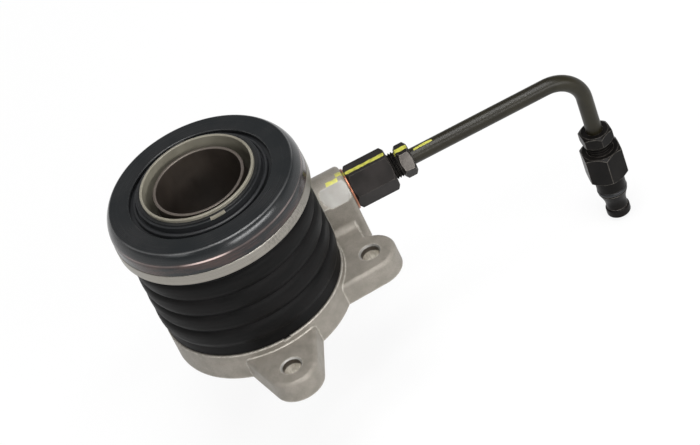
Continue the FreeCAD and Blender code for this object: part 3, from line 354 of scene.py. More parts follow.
def spin_round(bm, steps):
    """Spins an open or closed outline once round the upright axis."""
    bmesh.ops.spin(bm, geom=bm.verts[:] + bm.edges[:], cent=(0, 0, 0), axis=(0, 0, 1),
                   dvec=(0, 0, 0), angle=math.tau, steps=steps, use_merge=True,
                   use_normal_flip=False, use_duplicate=False)
    bmesh.ops.remove_doubles(bm, verts=bm.verts, dist=0.0005)
    bmesh.ops.recalc_face_normals(bm, faces=bm.faces)
    return bm


def spun_ring(corners, rounds=None, steps=128):
    """A turned ring."""
    bm = bmesh.new()
    outline_face(bm, corners, rounds)
    bmesh.ops.delete(bm, geom=bm.faces[:], context="FACES_ONLY")
    return spin_round(bm, steps)


def finish_piece(bm, name, body, slot, finishes, *nodes, place=Matrix(), angle=32):
    """Scales a piece to metres, puts it in its place and shows it."""
    harden(bm, angle)
    bmesh.ops.transform(bm, matrix=Matrix.Scale(0.001, 4) @ place, verts=bm.verts)
    return show(as_mesh(bm, name, *finishes), name, body, slot, *nodes)


tube_steel, tree, shader, place = start_finish("tube_steel", 0.2, 0.42)
grain = use_effect(tree, fine_grain, Place=place, Scale=1400.0)
streak = noise(tree, stretched(tree, place, 1.0, 0.06), 1800.0, 3.0, 0.6)
wire(tree, shader, Base_Color=patches(tree, grain, (46, 40, 35), (58, 51, 45)),
     Roughness=ramp(tree, streak, 0.3, 0.7, 0.36, 0.52), Normal=bumps(tree, streak, 0.1, 0.00005))

cut_steel, tree, shader, place = start_finish("cut_steel", 0.45, 0.42)
line = use_effect(tree, lathe_lines, Place=place, Lines=4200.0)["Line"]
wire(tree, shader, Base_Color=tint(tree, ramp(tree, line, 0.3, 0.7), shade(84, 77, 71),
                                   shade(112, 104, 97)))

tube = spun_ring([(15.75, 0.0), (21.5, 0.0), (21.5, 1.4), (16.85, 1.4), (16.85, 64.4),
                  (15.75, 64.4)], {0.35: [4, 5], 0.2: [1, 2], 0.5: [0]})
for face in tube.faces:
    face.material_index = int(face.calc_center_median().z > 64.0)
finish_piece(tube, "drawn_guide_tube", "housing", "tube_steel", [tube_steel, cut_steel],
             "guide_tube")


# Seals and stop ring
# Nitrile O-ring under the tube, cup seal under the piston, wiper at the mouth of the cylinder
# and a spring-steel ring on the tube that ends the stroke. All are inside, out of sight.
seal_rubber, tree, shader, place = start_finish("seal_rubber", 0.0, 0.4, Specular_IOR_Level=0.35)
grain = use_effect(tree, fine_grain, Place=place, Scale=3000.0)
wire(tree, shader, Normal=bumps(tree, grain["Speckle"], 0.1, 0.00004),
     Base_Color=tint(tree, grain["Patches"], shade(25, 26, 27), shade(38, 39, 41)))

spring_steel, tree, shader, place = start_finish("spring_steel", 0.8, 0.36)
grain = use_effect(tree, fine_grain, Place=place, Scale=2400.0)
wire(tree, shader, Normal=bumps(tree, grain["Speckle"], 0.12, 0.00004),
     Base_Color=patches(tree, grain, (138, 136, 130), (172, 170, 163), 0.35, 0.65))


def dress(node, finish):
    """Gives a CAD node that stays its material."""
    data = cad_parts[node].data
    data.materials.clear()
    data.materials.append(finish)


for node in ("tube_seal", "wiper_seal", "piston_seal", "rear_seal"):
    dress(node, seal_rubber)
for node in ("stop_ring", "centring_washer"):
    dress(node, spring_steel)


# Piston
# Ring-shaped piston, moulded in one with the thin off-white nose that stands up through the
# bearing. Its collar carries the bearing, and a groove near the top takes the retaining clip.
nose_plastic, tree, shader, place = start_finish("nose_plastic", 0.0, 0.4, Specular_IOR_Level=0.55)
grain = use_effect(tree, fine_grain, Place=place, Scale=1600.0)
line = use_effect(tree, lathe_lines, Place=place, Lines=1500.0)["Line"]
edge = use_effect(tree, edge_wear_and_highlight, Place=place, Width=0.0003, Breakup=500.0)["Edge"]
# Painted highlight: the nose's rim and edges are painted light
wire(tree, shader, Normal=bumps(tree, line, 0.12, 0.00006),
     Base_Color=tint(tree, times(tree, edge, 0.6),
                     patches(tree, grain, (112, 108, 96), (129, 125, 112)), shade(182, 177, 162)))

piston = spun_ring([(16.9, 25.2), (21.95, 25.2), (21.95, 46.7), (24.0, 46.7), (24.0, 47.9),
                    (21.1, 47.9), (21.1, 64.6), (20.7, 64.6), (20.7, 65.2), (21.1, 65.2),
                    (21.1, 66.3), (20.1, 66.3), (20.1, 44.0), (16.9, 44.0)],
                   {0.3: [10, 11], 0.4: [0, 1, 3, 4, 13]})
finish_piece(piston, "piston_and_nose", "piston_group", "nose_plastic", [nose_plastic], "piston")


# Preload spring
# Coil of round wire between the floor of the housing and the carrier. It keeps the bearing
# against the clutch, and shortens with the stroke.
coil = bmesh.new()
bmesh.ops.create_circle(coil, cap_ends=True, radius=1.3, segments=12,
                        matrix=Matrix.Translation((28.4, 0.0, 9.3))
                        @ Matrix.Rotation(math.radians(90), 4, "X"))
COIL_TURNS, COIL_STEPS = 5.5, 132
bmesh.ops.spin(coil, geom=coil.faces[:], cent=(0, 0, 0), axis=(0, 0, 1),
               dvec=(0, 0, 37.0 / COIL_STEPS), angle=math.tau * COIL_TURNS, steps=COIL_STEPS,
               use_merge=False, use_normal_flip=False, use_duplicate=False)
bmesh.ops.remove_doubles(coil, verts=coil.verts, dist=0.0005)
bmesh.ops.recalc_face_normals(coil, faces=coil.faces)
spring = finish_piece(coil, "preload_coil", "housing", "spring_steel", [spring_steel],
                      "preload_spring", angle=60)
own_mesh(spring)


# Dust boot
# Moulded rubber bellows with four shallow folds, matt black. Its foot is tucked inside the
# rim of the housing and its head grips the carrier, so it folds up as the piston goes home.
boot_rubber, tree, shader, place = start_finish("boot_rubber", 0.0, 0.5, Specular_IOR_Level=0.08)
grain = use_effect(tree, fine_grain, Place=place, Scale=2200.0)
smear = noise(tree, stretched(tree, place, 0.35, 1.6), 160.0, 4.0, 0.6)
fine = bumps(tree, grain["Speckle"], 0.16, 0.00008)
wire(tree, shader, Roughness=ramp(tree, smear, 0.3, 0.7, 0.42, 0.6),
     Base_Color=tint(tree, ramp(tree, smear, 0.35, 0.7), shade(14, 14, 14), shade(22, 21, 21)),
     Normal=bumps(tree, smear, 0.22, 0.0008, fine))

FOLDS, PITCH, LOWEST = 4, 7.775, 15.6
top = LOWEST + PITCH * FOLDS
folds_out, folds_in = [], []
for fold in range(FOLDS):
    low = LOWEST + PITCH * fold
    folds_out += [(33.0, low), (33.95, low + 1.6), (34.1, low + 5.0), (33.85, low + 6.9)]
    folds_in += [(31.7, low), (32.5, low + 2.0), (32.7, low + 5.4)]
foot = [(30.45, 8.0), (32.25, 8.0), (32.25, 11.3), (33.0, 11.3)]
head = [(33.0, top), (33.8, top + 0.9), (33.8, 49.6), (32.5, 49.6), (32.5, 46.75),
        (31.3, 46.75), (31.7, 45.8)]
corners = foot + folds_out + head + folds_in[::-1] + [(30.45, 10.2)]
first, last = len(foot), len(foot) + len(folds_out)
grooves = list(range(first, last + 1, 4))
crests = [n for n in range(first, last) if n not in grooves]
inside = list(range(last + 6, len(corners) - 1))
boot = spun_ring(corners, {0.9: crests, 0.22: grooves, 0.5: inside,
                           0.3: [first - 1, last + 1, last + 2]}, 160)
boot = finish_piece(boot, "rubber_dust_boot", "housing", "boot_rubber", [boot_rubber],
                    "dust_boot", angle=50)
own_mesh(boot)


# Bearing carrier
# Plate pressed from blackened steel, which sits on the piston's collar. The conical washer
# on it lets the bearing shift sideways and centre itself.
black_steel, tree, shader, place = start_finish("black_steel", 0.0, 0.16, Specular_IOR_Level=0.42)
grain = use_effect(tree, fine_grain, Place=place, Scale=900.0)
line = use_effect(tree, lathe_lines, Place=place, Lines=900.0)["Line"]
edge = use_effect(tree, edge_wear_and_highlight, Place=place, Width=0.0005, Breakup=260.0)["Edge"]
sideways, depth, height = put(tree, "SeparateXYZ", {0: place}).outputs
smears = noise(tree, stretched(tree, place, 1.0, 5.0), 60.0, 4.0, 0.6)
oxide_and_highlights = patches(tree, grain, (21, 24, 26), (31, 32, 33))
oxide_and_highlights = tint(tree, times(tree, ramp(tree, height, 0.0600, 0.0585), ramp(tree, smears, 0.4, 0.65)),
             oxide_and_highlights, shade(58, 44, 41))
# Painted highlights: two bands on the cover, at the foot of its shoulder and round its flat face,
# are painted bright, most at the front and broken up by noise
highlight_breakup = ramp(tree, noise(tree, place, 42.0, 3.0), 0.4, 0.65, 0.12, 0.5)
front = ramp(tree, depth, -0.012, -0.03)
front_streak = times(tree, ramp(tree, sideways, -0.021, -0.011), ramp(tree, sideways, 0.001, -0.007),
               front)
shoulder_highlight = calc(tree, "MAXIMUM", times(tree, highlight_breakup, 0.5), front_streak)
rim = calc(tree, "MAXIMUM", highlight_breakup, times(tree, front, 0.45))
for low, high, wear_and_highlight, highlight_colour in ((0.0584, 0.0593, shoulder_highlight, shade(206, 184, 178)),
                               (0.0624, 0.06299, rim, shade(112, 112, 112))):
    band = times(tree, ramp(tree, height, low, low + 0.0003),
                 ramp(tree, height, high, high - 0.0003))
    oxide_and_highlights = tint(tree, times(tree, band, wear_and_highlight), oxide_and_highlights, highlight_colour)
polish = calc(tree, "ADD", line, grain["Patches"])
wire(tree, shader, Roughness=ramp(tree, polish, 0.7, 1.3, 0.18, 0.3),
     Base_Color=tint(tree, times(tree, edge, 0.2), oxide_and_highlights, shade(112, 110, 108)),
     Normal=bumps(tree, line, 0.1, 0.00008))

carrier = spun_ring([(21.15, 47.9), (32.2, 47.9), (32.2, 49.3), (21.15, 49.3)],
                    {0.3: [0, 1, 2, 3]})
finish_piece(carrier, "pressed_carrier", "piston_group", "black_steel", [black_steel],
             "bearing_carrier")


# Ball bearing
# Bearing steel. The inner ring stands still on the carrier, the outer ring turns, and its
# foot is the bright ground band that shows between boot and cover. A moulded cage holds
# the balls apart.
bearing_steel, tree, shader, place = start_finish("bearing_steel", 1.0, 0.16)
line = use_effect(tree, lathe_lines, Place=place, Lines=5200.0)["Line"]
wire(tree, shader, Base_Color=tint(tree, line, shade(188, 187, 185), shade(214, 213, 211)))

ground_steel, tree, shader, place = start_finish("ground_steel", 0.9, 0.36)
line = use_effect(tree, lathe_lines, Place=place, Lines=4600.0)["Line"]
grain = use_effect(tree, fine_grain, Place=place, Scale=1700.0)
bright = tint(tree, ramp(tree, line, 0.3, 0.7), shade(132, 128, 121), shade(160, 156, 148))
scratches = noise(tree, stretched(tree, place, 1.0, 0.25), 2600.0, 2.0)
apart = put(tree, "SeparateXYZ", {0: place}).outputs
clamped = times(tree, ramp(tree, apart[0], 0.008, 0.012), ramp(tree, apart[1], -0.019, -0.023))
scuffed = times(tree, ramp(tree, scratches, 0.5, 0.6), clamped, 0.35)
bright = tint(tree, scuffed, bright, shade(84, 80, 76))
dull = ramp(tree, grain["Patches"], 0.58, 0.72, 0.0, 0.4)
wire(tree, shader, Base_Color=tint(tree, dull, bright, shade(112, 106, 100)),
     Roughness=ramp(tree, line, 0.25, 0.75, 0.3, 0.46), Normal=bumps(tree, line, 0.14, 0.00004))

cage_plastic, tree, shader, place = start_finish("cage_plastic", 0.0, 0.5)
grain = use_effect(tree, fine_grain, Place=place, Scale=2200.0)
wire(tree, shader, Base_Color=tint(tree, grain["Patches"], shade(92, 82, 68),
                                   shade(118, 106, 88)))

inner = spun_ring([(21.9, 50.1), (27.9, 50.1), (27.9, 52.6), (27.25, 53.6), (26.9, 55.35),
                   (27.25, 57.1), (27.9, 58.1), (27.9, 60.6), (21.9, 60.6)],
                  {0.4: [0, 1, 7, 8], 0.9: [3, 4, 5]})
finish_piece(inner, "standing_inner_ring", "piston_group", "bearing_steel", [bearing_steel],
             "bearing_inner_ring")

outer = spun_ring([(30.7, 50.1), (36.3, 50.1), (36.3, 54.3), (34.95, 54.3), (34.95, 59.2),
                   (33.3, 61.8), (30.7, 61.8), (30.7, 58.1), (31.35, 57.1), (31.7, 55.35),
                   (31.35, 53.6), (30.7, 52.6)],
                  {0.3: [0, 1, 2], 0.9: [8, 9, 10]}, 160)
finish_piece(outer, "ground_outer_ring", "thrust_ring", "ground_steel", [ground_steel],
             "bearing_outer_ring")
dress("bearing_balls", bearing_steel)
dress("bearing_cage", cage_plastic)


# Thrust cover
# Cup pressed from sheet steel, blackened and polished by handling, over the outer ring. Its
# flat face meets the clutch fingers and turns with them.
cover = spun_ring([(34.95, 54.3), (36.15, 54.3), (36.15, 59.2), (34.5, 62.1), (33.6, 63.0),
                   (26.4, 63.0), (26.4, 61.8), (33.3, 61.8), (34.95, 59.2)],
                  {0.25: [1], 1.9: [2], 0.7: [3], 0.45: [4, 5]}, 192)
finish_piece(cover, "pressed_thrust_cover", "thrust_ring", "black_steel", [black_steel],
             "thrust_cover")


# Front shield
# Moulded ring that closes the gap inside the thrust face. A lip reaches under the cover, and a
# collar round the nose stands up to the clip.
shield = spun_ring([(22.0, 60.6), (27.9, 60.6), (27.9, 61.0), (24.9, 61.0), (24.9, 62.4),
                    (24.5, 62.8), (23.9, 62.8), (23.6, 62.2), (23.2, 62.2), (23.2, 64.6),
                    (22.0, 64.6)],
                   {0.2: [4, 6, 9, 10], 0.3: [5]})
finish_piece(shield, "moulded_shield", "piston_group", "seal_rubber", [seal_rubber],
             "front_shield")


# Retaining clip
# Dark spring-steel ring snapped into the groove of the nose. Its two tabs, the front one
# pale, keep the bearing on the piston.
def join_in(bm, piece):
    """Moves a finished block into another."""
    part = bpy.data.meshes.new("part")
    piece.to_mesh(part)
    piece.free()
    bm.from_mesh(part)
    bpy.data.meshes.remove(part)


def arc_block(bm, corners, start, sweep, steps):
    """A closed block: the outline carried round the upright axis through an angle."""
    block = bmesh.new()
    face = outline_face(block, corners, None)
    bmesh.ops.rotate(block, cent=(0, 0, 0), matrix=Matrix.Rotation(math.radians(start), 3, "Z"),
                     verts=block.verts)
    bmesh.ops.spin(block, geom=[face], cent=(0, 0, 0), axis=(0, 0, 1), dvec=(0, 0, 0),
                   angle=math.radians(sweep), steps=steps, use_merge=False,
                   use_normal_flip=False, use_duplicate=False)
    bmesh.ops.recalc_face_normals(block, faces=block.faces)
    join_in(bm, block)


clip_black, tree, shader, place = start_finish("clip_black", 0.3, 0.4)
grain = use_effect(tree, fine_grain, Place=place, Scale=2400.0)
wire(tree, shader, Base_Color=patches(tree, grain, (26, 27, 28), (40, 40, 40)),
     Normal=bumps(tree, grain["Speckle"], 0.12, 0.00004))

clip = spun_ring([(20.7, 64.6), (22.3, 64.6), (22.3, 65.2), (20.7, 65.2)], {0.12: [1, 2]}, 128)
ring_faces = len(clip.faces)
TAB_WIDTH = 13.8  # degrees
for middle in (-88.5, 91.5):
    arc_block(clip, [(22.2, 64.62), (23.48, 64.62), (23.48, 65.18), (22.2, 65.18)],
              middle - TAB_WIDTH / 2, TAB_WIDTH, 8)
for face in clip.faces[ring_faces:]:
    face.material_index = int(face.calc_center_median().y < 0)
finish_piece(clip, "snap_clip", "piston_group", "spring_steel", [clip_black, nose_plastic],
             "retaining_clip")


# Copper washer
# Soft copper seal ring between the boss and the adaptor.
copper, tree, shader, place = start_finish("copper", 0.85, 0.34)
grain = use_effect(tree, fine_grain, Place=place, Scale=1800.0)
skin = patches(tree, grain, (148, 96, 74), (180, 128, 104))
wire(tree, shader, Base_Color=painted(tree, skin, place, (PORT_PLACE, 5.0, 1.1, 45.5, 47.2)))

ON_PORT = Matrix.Translation(PORT_AXIS) @ Matrix.Rotation(math.radians(90), 4, "Y")
washer = spun_ring([(5.0, 46.0), (7.8, 46.0), (7.8, 46.8), (5.0, 46.8)], {0.25: [1, 2]}, 64)
finish_piece(washer, "soft_copper_washer", "housing", "copper", [copper], "copper_washer",
             place=ON_PORT)


# Port adaptor
# Hexagon bar, 14.3 mm across flats, turned, chamfered and plated black, screwed into the port.
# Its flats are bright at the edges, partly rubbed by a spanner and partly painted highlight, and a
# paint stripe shows that the joint was tightened.
def cut_flats(bm, across, turn, low, high):
    """Mills six flats on a turned blank between two heights, and breaks their edges."""
    for number in range(6):
        angle = math.radians(turn + 30 + 60 * number)
        normal = Vector((math.cos(angle), math.sin(angle), 0))
        cut = bmesh.ops.bisect_plane(bm, geom=bm.verts[:] + bm.edges[:] + bm.faces[:],
                                     plane_co=normal * across / 2, plane_no=normal,
                                     dist=0.0001, clear_outer=True)
        rim = [part for part in cut["geom_cut"] if isinstance(part, bmesh.types.BMEdge)]
        bmesh.ops.edgenet_fill(bm, edges=rim)
    bmesh.ops.remove_doubles(bm, verts=bm.verts, dist=0.0005)
    bmesh.ops.recalc_face_normals(bm, faces=bm.faces)
    ridges = []
    for edge in bm.edges:
        in_range = all(low - 0.01 < vert.co.z < high + 0.01 for vert in edge.verts)
        on_flat = any(len(face.verts) > 6 for face in edge.link_faces)
        if in_range and on_flat and edge.calc_face_angle(0.0) > math.radians(15):
            ridges.append(edge)
    bmesh.ops.bevel(bm, geom=ridges, offset=0.14, offset_type="OFFSET", segments=2, profile=0.5,
                    affect="EDGES", clamp_overlap=True, material=-1)
    return bm


def plated_black(name, dark, light, rough, gloss, *dabs, metal=0.0, wear_and_highlight=0.45):
    """Black plating over turned steel, bright at the edges as rubbed wear and painted highlight,
    with any paint dabs.
    """
    finish, tree, shader, place = start_finish(name, metal, rough, Specular_IOR_Level=gloss)
    grain = use_effect(tree, fine_grain, Place=place, Scale=2000.0)
    edge = use_effect(tree, edge_wear_and_highlight, Place=place, Width=0.0004, Breakup=500.0)["Edge"]
    skin = tint(tree, times(tree, edge, wear_and_highlight), patches(tree, grain, dark, light),
                shade(150, 144, 136))
    wire(tree, shader, Base_Color=painted(tree, skin, place, *dabs),
         Roughness=ramp(tree, grain["Speckle"], 0.3, 0.7, rough - 0.05, rough + 0.08),
         Normal=bumps(tree, grain["Speckle"], 0.14, 0.00006))
    return finish


def corner_of(across):
    """How far a hexagon's corners stand from its axis."""
    return across / math.sqrt(3.0)


BAR_FLATS = 14.3
BAR_CORNER = corner_of(BAR_FLATS)
port_plating = plated_black("port_plating", (35, 33, 32), (46, 43, 42), 0.34, 0.06,
                            (PORT_PLACE, 2.0, 1.1, 46.9, 62.4))
adaptor = spun_ring([(1.6, 39.2), (4.25, 39.2), (4.95, 39.9), (4.95, 46.8),
                     (BAR_CORNER - 1.3, 46.8), (BAR_CORNER, 47.8), (BAR_CORNER, 61.8),
                     (BAR_CORNER - 1.3, 62.8), (5.0, 62.8), (5.0, 52.9), (1.6, 52.9)],
                    {0.15: [8]}, 96)
cut_flats(adaptor, BAR_FLATS, 22.5, 46.8, 62.8)
finish_piece(adaptor, "port_hexagon", "housing", "black_fitting", [port_plating],
             "port_adaptor", place=ON_PORT)


# Port pipe nut
# Small hexagon, 11.1 mm across flats, on a threaded shank, of which a few turns stand out
# of the adaptor. The flat that faces front and up is painted lighter and more metallic: a painted
# highlight.
def threaded(bm, low, high, crest, depth):
    """A ridge wound round a shank, one turn to the millimetre."""
    turns = high - low
    steps = int(turns * 48)
    ridge = bmesh.new()
    root = crest - depth - 0.15
    face = ridge.faces.new([ridge.verts.new(point) for point in (
        (root, 0, low - 0.42), (crest - depth, 0, low - 0.42), (crest, 0, low - 0.06),
        (crest, 0, low + 0.06), (crest - depth, 0, low + 0.42), (root, 0, low + 0.42))])
    bmesh.ops.spin(ridge, geom=[face], cent=(0, 0, 0), axis=(0, 0, 1),
                   dvec=(0, 0, turns / steps), angle=math.tau * turns, steps=steps,
                   use_merge=False, use_normal_flip=False, use_duplicate=False)
    bmesh.ops.recalc_face_normals(ridge, faces=ridge.faces)
    join_in(bm, ridge)


# The thread and shank of a nut are coloured near black, darker than its plating
near_black_thread = plated_black("near_black_thread", (10, 9, 9), (15, 14, 14), 0.6, 0.02, wear_and_highlight=0.08)
nut_plating = plated_black("nut_plating", (30, 28, 27), (42, 40, 38), 0.36, 0.07,
                           (PORT_PLACE, 1.5, 1.15, 65.3, 70.9))
# Painted highlight: a lighter, more metallic copy of the plating for the one flat that faces front
# and up
painted_lit_flat = plated_black("painted_lit_flat", (74, 70, 66), (93, 89, 85), 0.36, 0.3, metal=0.6)
NUT_FLATS = 11.1
NUT_CORNER = corner_of(NUT_FLATS)
nut = spun_ring([(3.05, 53.8), (4.0, 53.8), (4.4, 54.2), (4.4, 65.6), (4.8, 65.9),
                 (NUT_CORNER - 1.3, 65.9), (NUT_CORNER, 66.9), (NUT_CORNER, 70.0),
                 (NUT_CORNER - 1.3, 71.0), (3.05, 71.0)], {0.2: [9]}, 96)
cut_flats(nut, NUT_FLATS, 29.0, 65.9, 71.0)
threaded(nut, 61.5, 65.4, 4.95, 0.55)
# The flat that faces this way takes the painted highlight
LIT_FLAT_SIDE = Vector((-0.515, -0.857, 0.0))
for face in nut.faces:
    face.material_index = int(face.calc_center_median().z < 65.7)
    if len(face.verts) > 6 and face.normal.dot(LIT_FLAT_SIDE) > 0.98:
        face.material_index = 2
finish_piece(nut, "port_nut_with_thread", "housing", "black_fitting",
             [nut_plating, near_black_thread, painted_lit_flat], "port_pipe_nut", place=ON_PORT)


# Pressure pipe
# 6 mm steel tube, plated and coated olive brown, flared at both ends and bent once, down
# towards the clutch line. It carries the end of the paint stripe.
coated_pipe, tree, shader, place = start_finish("coated_pipe", 0.0, 0.38, Specular_IOR_Level=0.3)
grain = use_effect(tree, fine_grain, Place=place, Scale=1500.0)
skin = patches(tree, grain, (26, 23, 13), (34, 31, 19))
wire(tree, shader, Base_Color=painted(tree, skin, place, (PORT_PLACE, 7.0, 0.6, 72.3, 79.9)),
     Roughness=ramp(tree, grain["Speckle"], 0.3, 0.7, 0.36, 0.41),
     Normal=bumps(tree, grain["Speckle"], 0.03, 0.00005))

PIPE_AXIS, CORNER_X, BEND, BEND_RADIUS = PORT_AXIS[1:], 136.5, math.radians(95.2), 11.3
PIPE_RADIUS, FLARE_RADIUS, FLARE = 3.0, 4.2, 0.9
tangent = BEND_RADIUS * math.tan(BEND / 2)
leg = Vector((math.cos(BEND), 0, -math.sin(BEND)))


def run_on(bm, edges, shift, centre=None, size=1.0):
    """Draws the open end of the pipe further, and widens it about its centre."""
    drawn = bmesh.ops.extrude_edge_only(bm, edges=edges)["geom"]
    edges = [part for part in drawn if isinstance(part, bmesh.types.BMEdge)]
    verts = list({vert for edge in edges for vert in edge.verts})
    bmesh.ops.translate(bm, verts=verts, vec=shift)
    if centre is not None:
        bmesh.ops.scale(bm, verts=verts, vec=(size,) * 3,
                        space=Matrix.Translation(-Vector(centre)))
    return edges


pipe = bmesh.new()
start = Vector((52.9, *PIPE_AXIS))
bmesh.ops.create_circle(pipe, cap_ends=True, radius=FLARE_RADIUS, segments=32,
                        matrix=Matrix.Translation(start)
                        @ Matrix.Rotation(math.radians(90), 4, "Y"))
end = run_on(pipe, pipe.edges[:], (FLARE, 0, 0), start + Vector((FLARE, 0, 0)),
             PIPE_RADIUS / FLARE_RADIUS)
bend_start = CORNER_X - tangent
for stop in (72.0, 98.0, bend_start):
    here = sum((vert.co.x for edge in end for vert in edge.verts)) / (2 * len(end))
    end = run_on(pipe, end, (stop - here, 0, 0))
bent = bmesh.ops.spin(pipe, geom=end, axis=(0, 1, 0), dvec=(0, 0, 0), angle=BEND, steps=36,
                      cent=(bend_start, PIPE_AXIS[0], PIPE_AXIS[1] - BEND_RADIUS),
                      use_merge=False, use_normal_flip=False, use_duplicate=False)
end = [part for part in bent["geom_last"] if isinstance(part, bmesh.types.BMEdge)]
end = run_on(pipe, end, leg * (45.4 - tangent))
last = Vector((CORNER_X, *PIPE_AXIS)) + leg * 46.3
end = run_on(pipe, end, leg * FLARE, last, FLARE_RADIUS / PIPE_RADIUS)
bmesh.ops.edgenet_fill(pipe, edges=end)
bmesh.ops.recalc_face_normals(pipe, faces=pipe.faces)
finish_piece(pipe, "bent_pressure_pipe", "housing", "coated_pipe", [coated_pipe],
             "pressure_pipe")


# Lower pipe nut
# The same nut the other way up, at the end of the short leg, in a deeper black.
ON_LINE = (Matrix.Translation((CORNER_X, *PIPE_AXIS))
           @ Matrix.Rotation(BEND + math.radians(90), 4, "Y"))
line_plating = plated_black("line_plating", (15, 14, 13), (22, 20, 19), 0.32, 0.08)
nut = spun_ring([(3.05, 27.7), (NUT_CORNER - 1.3, 27.7), (NUT_CORNER, 28.7),
                 (NUT_CORNER, 31.8), (NUT_CORNER - 1.3, 32.8), (4.8, 32.8), (4.4, 33.1),
                 (4.4, 44.9), (4.0, 45.4), (3.05, 45.4)], {0.2: [0]}, 96)
cut_flats(nut, NUT_FLATS, 27.0, 27.7, 32.8)
threaded(nut, 33.3, 37.2, 4.95, 0.55)
for face in nut.faces:
    face.material_index = int(face.calc_center_median().z > 33.0)
finish_piece(nut, "line_nut", "housing", "black_fitting", [line_plating, near_black_thread],
             "line_pipe_nut", place=ON_LINE)


# Line adaptor
# Hexagon, 14 mm across flats, that ends in the plug for the clutch line: a collar with a
# groove for the O-ring, a neck and a bead that the line's wire clip snaps behind.
LINE_FLATS = 14.0
LINE_CORNER = corner_of(LINE_FLATS)
adaptor = spun_ring([(5.0, 36.4), (LINE_CORNER - 1.3, 36.4), (LINE_CORNER, 37.4),
                     (LINE_CORNER, 47.6), (LINE_CORNER - 1.3, 48.6), (5.45, 48.6),
                     (5.45, 54.25), (3.95, 54.25), (3.95, 56.15), (5.45, 56.15),
                     (5.075, 57.05), (3.9, 60.25), (3.9, 63.3), (4.45, 63.75), (4.45, 66.4),
                     (3.45, 67.3), (1.6, 67.3), (1.6, 46.3), (5.0, 46.3)],
                    {0.15: [6, 9, 10], 1.2: [11], 0.3: [13, 14, 15], 0.2: [16]}, 96)
cut_flats(adaptor, LINE_FLATS, 33.0, 36.4, 48.6)
finish_piece(adaptor, "line_plug", "housing", "black_fitting", [line_plating], "line_adaptor",
             place=ON_LINE)

seal = bmesh.new()
bmesh.ops.create_circle(seal, cap_ends=False, radius=0.825, segments=16,
                        matrix=Matrix.Translation((4.775, 0, 55.2))
                        @ Matrix.Rotation(math.radians(90), 4, "X"))
finish_piece(spin_round(seal, 64), "line_o_ring", "housing", "seal_rubber", [seal_rubber],
             "line_seal", place=ON_LINE, angle=60)


# Studio
# A pale floor under the lowest point of the pipe, a white room seen in reflections too, and
# soft lamps. The camera stands where the photograph's stood. None of it is part of the object.
def looked_at(tree):
    """1 for camera, glossy and transmission rays, so that metal shows the background too."""
    rays = put(tree, "LightPath").outputs
    return calc(tree, "ADD", calc(tree, "ADD", rays["Is Camera Ray"], rays["Is Glossy Ray"]),
                rays["Is Transmission Ray"], clamp=True)


floor_finish = bpy.data.materials.new("pale_floor")
floor_finish.use_nodes = True
tree = floor_finish.node_tree
shader = tree.nodes["Principled BSDF"]
shader.inputs["Base Color"].default_value = (0.86, 0.86, 0.86, 1.0)
shader.inputs["Roughness"].default_value = 0.9
glow = put(tree, "Emission", {"Color": (1.0, 1.0, 1.0, 1.0), "Strength": 1.0}).outputs[0]
tree.links.new(put(tree, "MixShader", {0: times(tree, looked_at(tree), 0.88),
                                       1: shader.outputs[0], 2: glow}).outputs[0],
               tree.nodes["Material Output"].inputs["Surface"])
FLOOR_HEIGHT = -0.0515
ground = bmesh.new()
bmesh.ops.create_grid(ground, x_segments=2, y_segments=2, size=4.0,
                      matrix=Matrix.Translation((0, 0, FLOOR_HEIGHT)))
mesh = as_mesh(ground, "pale_floor", floor_finish)
floor = bpy.data.objects.new("pale_floor", mesh)
bpy.context.scene.collection.objects.link(floor)
floor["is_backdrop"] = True

room = bpy.data.worlds.new("white_room")
bpy.context.scene.world = room
room.use_nodes = True
tree = room.node_tree
tree.nodes.clear()
height = put(tree, "SeparateXYZ", {0: put(tree, "TexCoord").outputs["Generated"]}).outputs[2]
ceiling = ramp(tree, height, 0.0, 0.35, 1.0, 0.26)
plain = put(tree, "Background", {"Color": (1.0, 1.0, 1.0, 1.0), "Strength": 0.31}).outputs[0]
shown = put(tree, "Background", {"Color": (1.0, 1.0, 1.0, 1.0), "Strength": ceiling}).outputs[0]
tree.links.new(put(tree, "MixShader", {0: looked_at(tree), 1: plain, 2: shown}).outputs[0],
               put(tree, "OutputWorld").inputs["Surface"])


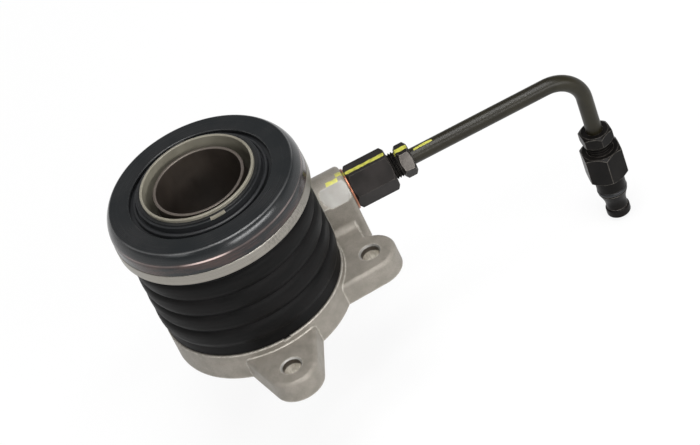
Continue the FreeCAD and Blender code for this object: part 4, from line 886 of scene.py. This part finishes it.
def lamp(name, spot, size, power, aim=(0.03, 0.0, 0.03)):
    """A soft box that looks at the object."""
    light = bpy.data.lights.new(name, "AREA")
    light.shape = "RECTANGLE"
    light.size, light.size_y = size
    light.energy = power
    body = bpy.data.objects.new(name, light)
    body.location = spot
    body.rotation_mode = "QUATERNION"
    body.rotation_quaternion = (Vector(aim) - Vector(spot)).to_track_quat("-Z", "Y")
    bpy.context.scene.collection.objects.link(body)


lamp("front_box", (0.6, -1.1, 0.54), (1.3, 0.2), 11.0)
lamp("left_box", (-0.9, -0.5, 0.9), (0.5, 0.5), 2.0)
lamp("top_box", (0.1, -0.1, 1.5), (0.8, 0.5), 11.5)
lamp("upper_box", (0.3, -0.58, 1.3), (1.0, 0.2), 8.5)

# 38 degrees above the gearbox face, rolled to the left, with a long lens. FOCUS, the size and
# TARGET_PIXEL are in the photograph's pixels.
WIDTH, HEIGHT, FOCUS = 700, 445, 5000.0
RAISE, ROLL, REACH = math.radians(38.26), math.radians(-27.41), 1.7325
TARGET, TARGET_PIXEL = Vector((0.0, 0.0, 0.04955)), (213.5, 210.6)
aim = Vector(((TARGET_PIXEL[0] - WIDTH / 2) / FOCUS, (TARGET_PIXEL[1] - HEIGHT / 2) / FOCUS, 1.0))
level = Matrix(((1, 0, 0), (0, 0, -1), (0, 1, 0)))
turn = (Vector((0, 0, 1)).rotation_difference(aim).to_matrix()
        @ Matrix.Rotation(ROLL, 3, "Z") @ Matrix.Rotation(RAISE, 3, "X") @ level)
lens = bpy.data.cameras.new("photograph_view")
lens.sensor_width = 36.0
lens.lens = FOCUS * lens.sensor_width / WIDTH
lens.clip_start, lens.clip_end = 0.1, 20.0
camera = bpy.data.objects.new("photograph_view", lens)
camera.matrix_world = Matrix.Translation(
    TARGET + REACH * Vector((0, -math.cos(RAISE), math.sin(RAISE)))) @ Matrix(
        (turn[0], -turn[1], -turn[2])).transposed().to_4x4()
bpy.context.scene.collection.objects.link(camera)
bpy.context.scene.camera = camera
bpy.context.scene.view_settings.view_transform = "Standard"

low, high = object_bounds()
